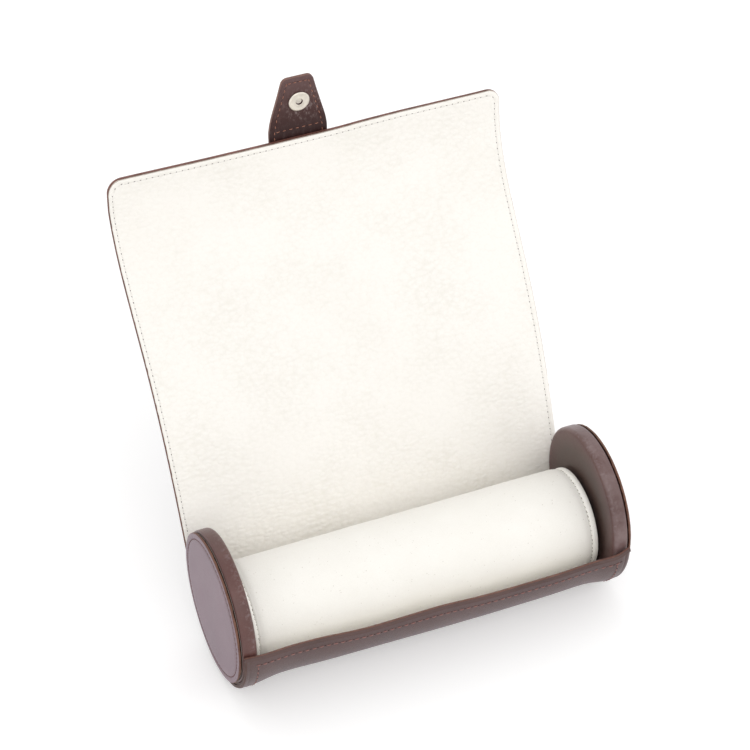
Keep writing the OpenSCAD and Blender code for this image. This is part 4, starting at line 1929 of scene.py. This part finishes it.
    def _stitch_places(self) -> tuple[Array, Array]:
        """Places of the stitches round the tab and of the cross rows that hold it on the flap.

        Returns:
            Rows of (x, run), and rows of their direction (x, run).
        """
        pitch, inset, last = self.pitch, self.stitch_inset, self.marks[-1]
        spots: list[tuple[float, float]] = []
        aims: list[tuple[float, float]] = []
        for s in (-1, 1):
            for run in np.arange(inset + pitch / 2, last - self.corner, pitch):
                here, ahead = self.half(np.array([run, run + MM]))
                spots.append((s * (here - inset), run))
                aims.append((s * (ahead - here) / MM, 1.0))
        reach = float(self.half(last - self.corner)) - self.corner - self.tip_gap * pitch
        rows = [(x, last - inset) for x in np.linspace(-reach, reach, self.tip_stitches)]
        for row in (inset, self.lap - self.foot_seam, self.marks[1] + self.foot_seam):
            width = float(self.half(row)) - inset
            rows += [(x, row) for x in np.arange(-width + pitch / 2, width, pitch)]
        return np.array(spots + rows), np.array(aims + [(1.0, 0.0)] * len(rows))

    def _sew(self) -> None:
        """Sews the tab; the lap's inner leather lies against the flap and shows no thread."""
        places, aims = self._stitch_places()
        crease = self.crease * ridge(self.edge_distance(*places.T), self.stitch_inset, self.crease_width)
        across = np.tile([1.0, 0.0, 0.0], (len(places), 1))
        sewing = Sewing(self.pitch, length=2.0 * MM, width=0.46 * MM, lift=0.2)
        step = np.array([0, 0.05 * MM])
        for outer in (False, True):
            depth = 2 * self.leather - crease if outer else crease
            ahead, here, back = (self.place(*(places + side * step).T, depth) for side in (1, 0, -1))
            along = (ahead - back) / (2 * step[1])
            normal = np.cross(across, along) * (-1 if outer else 1)
            aim = aims[:, :1] * across + aims[:, 1:] * along
            for stretch in self.stretches if outer else self.stretches[1:]:
                mine = (places[:, 1] >= stretch.rows[0]) & (places[:, 1] < stretch.rows[-1])
                name = f"tab_thread_{'outer' if outer else 'inner'}_{stretch.word}"
                materials = self.palette["tan_thread"], self.palette["hole"]
                self._settle(sewing.sew(name, here[mine], aim[mine], normal[mine], *materials), stretch)

    def build(self) -> None:
        """Builds the tab."""
        for outer in (False, True):
            for stretch in self.stretches:
                self._leather(stretch, outer)
        self._sew()


@dataclass
class Snap:
    """The magnetic snap: a dished socket on the tab and a stud on the tray.

    The tables hold the socket's profile in millimetres, as (radius, height): its floor, then its
    hole's wall, its hole's mouth, its rim's crown and its rim's foot, each from its own corner.
    """

    tab: Tab
    palette: Palette
    socket_r: float = 5.5 * MM
    socket_t: float = 1.0 * MM
    hole_r: float = 1.7 * MM
    floor: Pairs = ((0.0, 0.10), (0.5, 0.08), (0.8, 0.05))
    wall: Pairs = ((-0.2, 0.05), (0.0, 0.20))
    mouth: Pairs = ((0.0, -0.28), (0.10, -0.10), (0.32, -0.02), (0.60, -0.06), (1.0, -0.10))
    crown: Pairs = ((-1.3, -0.07), (-0.8, -0.03), (-0.4, -0.08), (-0.12, -0.24), (0.0, -0.48))
    foot: Pairs = ((-0.04, 0.38), (-0.35, 0.22), (-0.40, 0.0))
    hole_shade_band: tuple[float, float] = (-0.15 * MM, 0.08 * MM)

    def _socket(self) -> None:
        """Builds the socket with its dished face, and painted shade on its hole's wall and mouth."""
        r, t, h = self.socket_r, self.socket_t, self.hole_r
        profile = offsets(0, 0, self.floor) + offsets(h, 0, self.wall) + offsets(h, t, self.mouth)
        profile += offsets(r, t, self.crown) + offsets(r, 0, self.foot) + [(0.0, 0.0)]
        obj = Bench.lathe("snap_socket_ring", profile, 0.0, 72)
        height, across, ahead = Bench.points(obj).T
        y, z, _ = self.tab.spine(np.array([self.tab.lap + self.tab.snap_reach]))
        lean = self.tab.leans[2]
        along = np.array([0, math.cos(lean), math.sin(lean)])
        inward = np.array([0, -math.sin(lean), math.cos(lean)])
        centre = np.array([self.tab.snap_x, y[0], z[0]])
        shares = (across, np.array([1, 0, 0])), (ahead, along), (height, inward)
        Bench.put(obj, centre + sum(share[:, None] * way for share, way in shares))
        Bench.face_out(obj)
        Bench.paint(obj, self.palette["nickel"], self.palette["hole"])
        for polygon in obj.data.polygons:
            rise = (polygon.center - Vector(centre)).cross(Vector(inward)).length
            # Faces near the hole's wall take the hole finish: painted shade.
            polygon.material_index = int(self.hole_shade_band[0] < rise - h < self.hole_shade_band[1])
        Bench.smooth(obj, 50)
        Bench.finish(obj, Body.TIP.value, "snap_metal", "snap_socket")

    def build(self) -> None:
        """Builds the socket and dresses the plain metal parts."""
        self._socket()
        washers = ("stud_washer", "steel"), ("socket_washer", "steel")
        for node, look in (("snap_stud", "nickel"), ("socket_magnet", "magnet"), *washers):
            Bench.dress(node, self.palette[look])


# ------------ pillow


@dataclass
class Pillow:
    """The soft roll that the straps go round: a sewn sleeve, two sunk ends and their seams.

    A dent along a seam is given as (depth, distance from the seam, width), and a soft unevenness as
    (rate along the roll, rate round it, height in millimetres).
    """

    palette: Palette
    centre_z: float
    radius: float
    half: float
    seam_inset: float = 3.0 * MM
    fall: float = 0.5 * MM
    slack: float = 0.35 * MM
    fall_reach: float = 7 * MM
    valley: Triple = (0.45 * MM, 1.0 * MM, 1.3 * MM)
    seam: Triple = (0.80 * MM, 0.0, 0.42 * MM)
    pucker: Triple = (0.10 * MM, 1.4 * MM, 1.8 * MM)
    pucker_count: int = 46
    roll: float = 0.35 * MM
    roll_reach: float = 0.9 * MM
    swell: Triple = (26, 1.5, 0.28)
    dimple: Triple = (70, 4, 0.10)
    dimple_shift: float = 9
    pitch: float = 2.6 * MM
    turns: int = 144
    edge_rings: tuple[float, ...] = (0.3, 0.7, 1.2, 1.8, 2.4, 2.8, 3.2, 3.6, 4.0, 4.6, 5.4, 6.6, 8.4)
    first_even_ring: float = 11 * MM
    even_rings: int = 25
    end_steps: Pairs = ((0.5, 0.15), (0.9, 0.6), (0.8, 1.0), (0.8, 0.9), (4.0, 0.25), (8.0, 0.0), (8.0, 0.0))

    def _radius(self, x: Array, angle: Array) -> Array:
        """The sleeve's radius, with its seams, the puckers beside them and its soft unevenness.

        Args:
            x: Places along the roll.
            angle: Places round it.

        Returns:
            Radii.
        """
        gap = self.half - np.abs(x)
        fall = self.fall * fade(gap, self.fall_reach) ** 1.5
        roll = self.roll * fade(gap, self.roll_reach) ** 2
        valley, seam, pucker = (
            depth * ridge(gap, self.seam_inset + beyond, width)
            for depth, beyond, width in (self.valley, self.seam, self.pucker)
        )
        uneven = np.zeros(len(x))
        for (rate, turn, height), shift in ((self.swell, 0), (self.dimple, self.dimple_shift)):
            spots = zip(x * rate + shift, np.cos(angle) * turn, np.sin(angle) * turn)
            uneven += np.array([noise.noise(Vector(spot)) for spot in spots]) * height
        waves = np.sin(angle * self.pucker_count + 3 * np.sin(angle * 5))
        return self.radius - self.slack - fall - valley - seam - roll + uneven * MM + waves * pucker

    def _sink_end(self, obj: Piece, side: Side) -> None:
        """Closes one end of the sleeve with a sunk disc.

        Args:
            obj: The sleeve.
            side: Which end.
        """
        with Bench.editing(obj):
            bpy.ops.mesh.select_all(action="DESELECT")
        end = side.value * self.half
        for edge in obj.data.edges:
            edge.select = all(abs(obj.data.vertices[v].co.x - end) < TINY for v in edge.vertices)
        bpy.ops.object.mode_set(mode="EDIT")
        bpy.context.tool_settings.mesh_select_mode = (False, True, False)
        radius = self.radius
        for inward, sunk in self.end_steps:
            bpy.ops.mesh.extrude_edges_move(TRANSFORM_OT_translate={"value": (-side.value * sunk * MM, 0, 0)})
            factor = (radius - inward * MM) / radius
            bpy.ops.transform.resize(value=(1, factor, factor), center_override=(0, 0, self.centre_z))
            radius -= inward * MM
        bpy.ops.mesh.edge_collapse()
        bpy.ops.object.mode_set(mode="OBJECT")

    def _sleeve(self) -> Piece:
        """Builds the sleeve and its sunk ends as one closed skin.

        Returns:
            The skin, still a plain roll.
        """
        obj = Bench.add(
            "watch_pillow",
            bpy.ops.mesh.primitive_cylinder_add,
            vertices=self.turns,
            radius=self.radius,
            depth=2 * self.half,
            end_fill_type="NOTHING",
            location=(0, 0, self.centre_z),
            rotation=(0, math.pi / 2, 0),
        )
        bpy.ops.object.transform_apply(location=True, rotation=True, scale=True)
        even = np.linspace(self.first_even_ring, self.half, self.even_rings + 1)[:-1]
        marks = np.concatenate([np.array(self.edge_rings) * MM, even])
        with Bench.editing(obj):
            for place in np.concatenate([marks - self.half, [0], (self.half - marks)[::-1]]):
                bpy.ops.mesh.select_all(action="SELECT")
                bpy.ops.mesh.bisect(plane_co=(float(place), 0, 0), plane_no=(1, 0, 0))
        for side in Side:
            self._sink_end(obj, side)
        bpy.context.tool_settings.mesh_select_mode = (True, False, False)
        with Bench.editing(obj):
            bpy.ops.mesh.remove_doubles(threshold=TINY)
        Bench.face_out(obj)
        return obj

    def _seams(self) -> None:
        """Sews the sleeve's two end seams."""
        count = int(2 * math.pi * (self.radius + 0.2 * MM) / self.pitch)
        sewing = Sewing(self.pitch, length=2.3 * MM, width=0.40 * MM, height=0.30 * MM, slant=9)
        angles, outward, along = ring(count)
        for side in Side:
            x = side.value * (self.half - self.seam_inset)
            radii = self._radius(np.full(count, x), angles) + 0.02 * MM
            centres = radii[:, None] * outward + [x, 0, self.centre_z]
            materials = self.palette["seam_thread"], self.palette["pale_hole"]
            obj = sewing.sew(f"pillow_{side.word}_seam", centres, along, outward, *materials)
            Bench.finish(obj, Body.PILLOW.value)

    def build(self) -> None:
        """Builds the pillow: the skin is drawn in to its soft radius, and so are the steps of its ends."""
        obj = self._sleeve()
        co = Bench.points(obj)
        y, z = co[:, 1], co[:, 2] - self.centre_z
        rise = np.hypot(y, z)
        fresh = self._radius(co[:, 0], np.arctan2(z, y))
        wall = rise > self.radius - 1e-5
        moved = wall | (rise > self.radius * 0.5)
        wanted = np.where(wall, fresh, fresh - (self.radius - rise))
        factor = np.where(moved, wanted / np.maximum(rise, 1e-9), 1.0)
        co[:, 1] = y * factor
        co[:, 2] = self.centre_z + z * factor
        Bench.put(obj, co)
        Bench.paint(obj, self.palette["nap"])
        Bench.smooth(obj, 60)
        nodes = "pillow_cover", "pillow_left_end", "pillow_right_end"
        Bench.finish(obj, Body.PILLOW.value, "pillow_cover", *nodes)
        self._seams()
        Bench.dress("pillow_core", self.palette["foam"])


# ------------ studio


@dataclass(frozen=True)
class Lamp:
    """One large soft lamp that looks at the roll."""

    name: str
    place: Triple
    size: float
    power: float
    warmth: Triple

    def hang(self, aim: Triple) -> None:
        """Hangs the lamp.

        Args:
            aim: What it looks at.
        """
        data = bpy.data.lights.new(self.name, "AREA")
        data.shape = "SQUARE"
        data.size = self.size
        data.energy = self.power
        data.color = self.warmth
        lamp = bpy.data.objects.new(self.name, data)
        bpy.context.scene.collection.objects.link(lamp)
        lamp.location = self.place
        lamp.rotation_mode = "QUATERNION"
        lamp.rotation_quaternion = (Vector(aim) - Vector(self.place)).to_track_quat("-Z", "Y")


@dataclass
class Studio:
    """Floor, soft light and camera."""

    camera_place: Triple = (-0.3870, -0.8883, 0.9844)
    camera_back: Triple = (-0.2914, -0.7022, 0.6495)
    lens: float = 129.83
    sensor: float = 36
    clip: tuple[float, float] = (0.05, 50)
    glow: float = 0.835
    floor_glow: float = 0.33
    floor_size: float = 8
    floor_z: float = -0.45 * MM
    aim: Triple = (0, 0.03, 0.1)
    lamps: tuple[Lamp, ...] = (
        Lamp("key", (-0.4, -1.65, 1.5), 1.5, 10.9, (1.0, 0.99, 0.975)),
        Lamp("fill", (1.4, -1.0, 0.9), 1.3, 5, (0.99, 0.985, 0.98)),
        Lamp("back", (0.2, 1.5, 1.5), 1.3, 5, (1.0, 1.0, 1.0)),
    )

    @staticmethod
    def _seen(n: Nodes) -> Socket:
        """Masks the rays that show the backdrop: camera, gloss and glass.

        Args:
            n: The node helper.

        Returns:
            The mask's socket.
        """
        path = n.add("LightPath").outputs
        mask = n.plus(path["Is Camera Ray"], path["Is Glossy Ray"], clamp=True)
        return n.plus(mask, path["Is Transmission Ray"], clamp=True)

    def _world(self) -> None:
        """Plain soft light from all round, over a white backdrop."""
        world = bpy.data.worlds.new("soft_box")
        bpy.context.scene.world = world
        world.use_nodes = True
        world.node_tree.nodes.clear()
        n = Nodes(world.node_tree)
        mix = n.add("MixShader", Fac=self._seen(n))
        for socket, strength in zip(mix.inputs[1:], (self.glow, 1.0)):
            n.feed(socket, n.add("Background", Color=(1, 1, 1), Strength=strength).outputs[0])
        n.add("OutputWorld", Surface=mix.outputs[0])

    def _floor(self) -> None:
        """A plain pale floor that keeps the shadow."""
        plane = bpy.ops.mesh.primitive_plane_add
        floor = Bench.add("floor", plane, size=self.floor_size, location=(0, 0, self.floor_z))
        material = bpy.data.materials.new("pale_floor")
        material.use_nodes = True
        n = Nodes(material.node_tree)
        n.fill(
            material.node_tree.nodes["Principled BSDF"],
            Base_Color=(0.80, 0.80, 0.80),
            Roughness=0.9,
            Specular_IOR_Level=0.1,
            Emission_Color=(1, 1, 1),
            Emission_Strength=n.times(self._seen(n), self.floor_glow),
        )
        Bench.paint(floor, material)

    def _camera(self) -> None:
        """The camera, on its measured place."""
        data = bpy.data.cameras.new("camera")
        data.sensor_width = self.sensor
        data.lens = self.lens
        data.clip_start, data.clip_end = self.clip
        camera = bpy.data.objects.new("camera", data)
        bpy.context.scene.collection.objects.link(camera)
        camera.location = self.camera_place
        camera.rotation_mode = "QUATERNION"
        camera.rotation_quaternion = (-Vector(self.camera_back)).to_track_quat("-Z", "Y")
        bpy.context.scene.camera = camera

    def build(self) -> None:
        """Sets up the studio."""
        self._world()
        self._floor()
        for lamp in self.lamps:
            lamp.hang(self.aim)
        self._camera()
        bpy.context.scene.view_settings.view_transform = "Standard"


# ------------ the roll


def sheet_line() -> SheetLine:
    """Reads the sheet's line off the frame's hinges and boxes.

    Returns:
        The line.
    """
    rim_low, rim_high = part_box("right_end_cover")
    edge_high, first_high = (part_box(node)[1] for node in ("flap_leather_12", "flap_leather_01"))
    folds = np.array([joint["pos_m"][1:] for joint in frame["joints"] if joint["child"].startswith("flap_")])
    tab_fold = next(np.array(joint["pos_m"][1:]) for joint in frame["joints"] if joint["name"] == "tab_bend")
    strip = float(np.hypot(*(folds[1] - folds[0])))
    leave_angle, thickness, tab_offset = -25.0, 3.0 * MM, 0.8 * MM
    first_lean = math.radians(leave_angle + 90)
    reach = tab_fold - folds[-1]
    last_lean = math.atan2(reach[1], reach[0]) + math.atan2(thickness, strip + tab_offset)
    free = strip * (len(folds) + 0.5)
    flare = (edge_high.x - first_high.x) / (1 - 1.5 * strip / free)
    return SheetLine(
        axis_z=(rim_low.z + rim_high.z) / 2,
        rim_r=(rim_high.z - rim_low.z) / 2,
        lip_angle=181,
        leave_angle=leave_angle,
        start=folds[0] - strip / 2 * np.array([math.cos(first_lean), math.sin(first_lean)]),
        folds=folds,
        end=folds[-1] + strip * np.array([math.cos(last_lean), math.sin(last_lean)]),
        tray_half=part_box("tray_leather")[1].x,
        flap_root_half=edge_high.x - flare,
        flap_flare=flare,
        thickness=thickness,
    )


def main() -> None:
    """Builds the roll, piece by piece, and its studio."""
    logging.basicConfig(level=logging.INFO, format="%(name)s %(message)s")
    bpy.context.scene.tool_settings.use_mesh_automerge = False
    palette = {look: finish.make() for look, finish in FINISHES.items()}
    line = sheet_line()
    Sheet(line, palette).build()
    low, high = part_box("right_end_face")
    inner_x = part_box("right_end_cover")[0].x
    for side in Side:
        RoundEnd(side, palette, line.axis_z, line.rim_r, inner_x, low.x, high.x, (high.z - low.z) / 2).build()
    tab = Tab(line, palette)
    tab.build()
    Snap(tab, palette).build()
    low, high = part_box("pillow_cover")
    Pillow(palette, (low.z + high.z) / 2, (high.z - low.z) / 2, high.x).build()
    Studio().build()


if __name__ == "__main__":
    main()
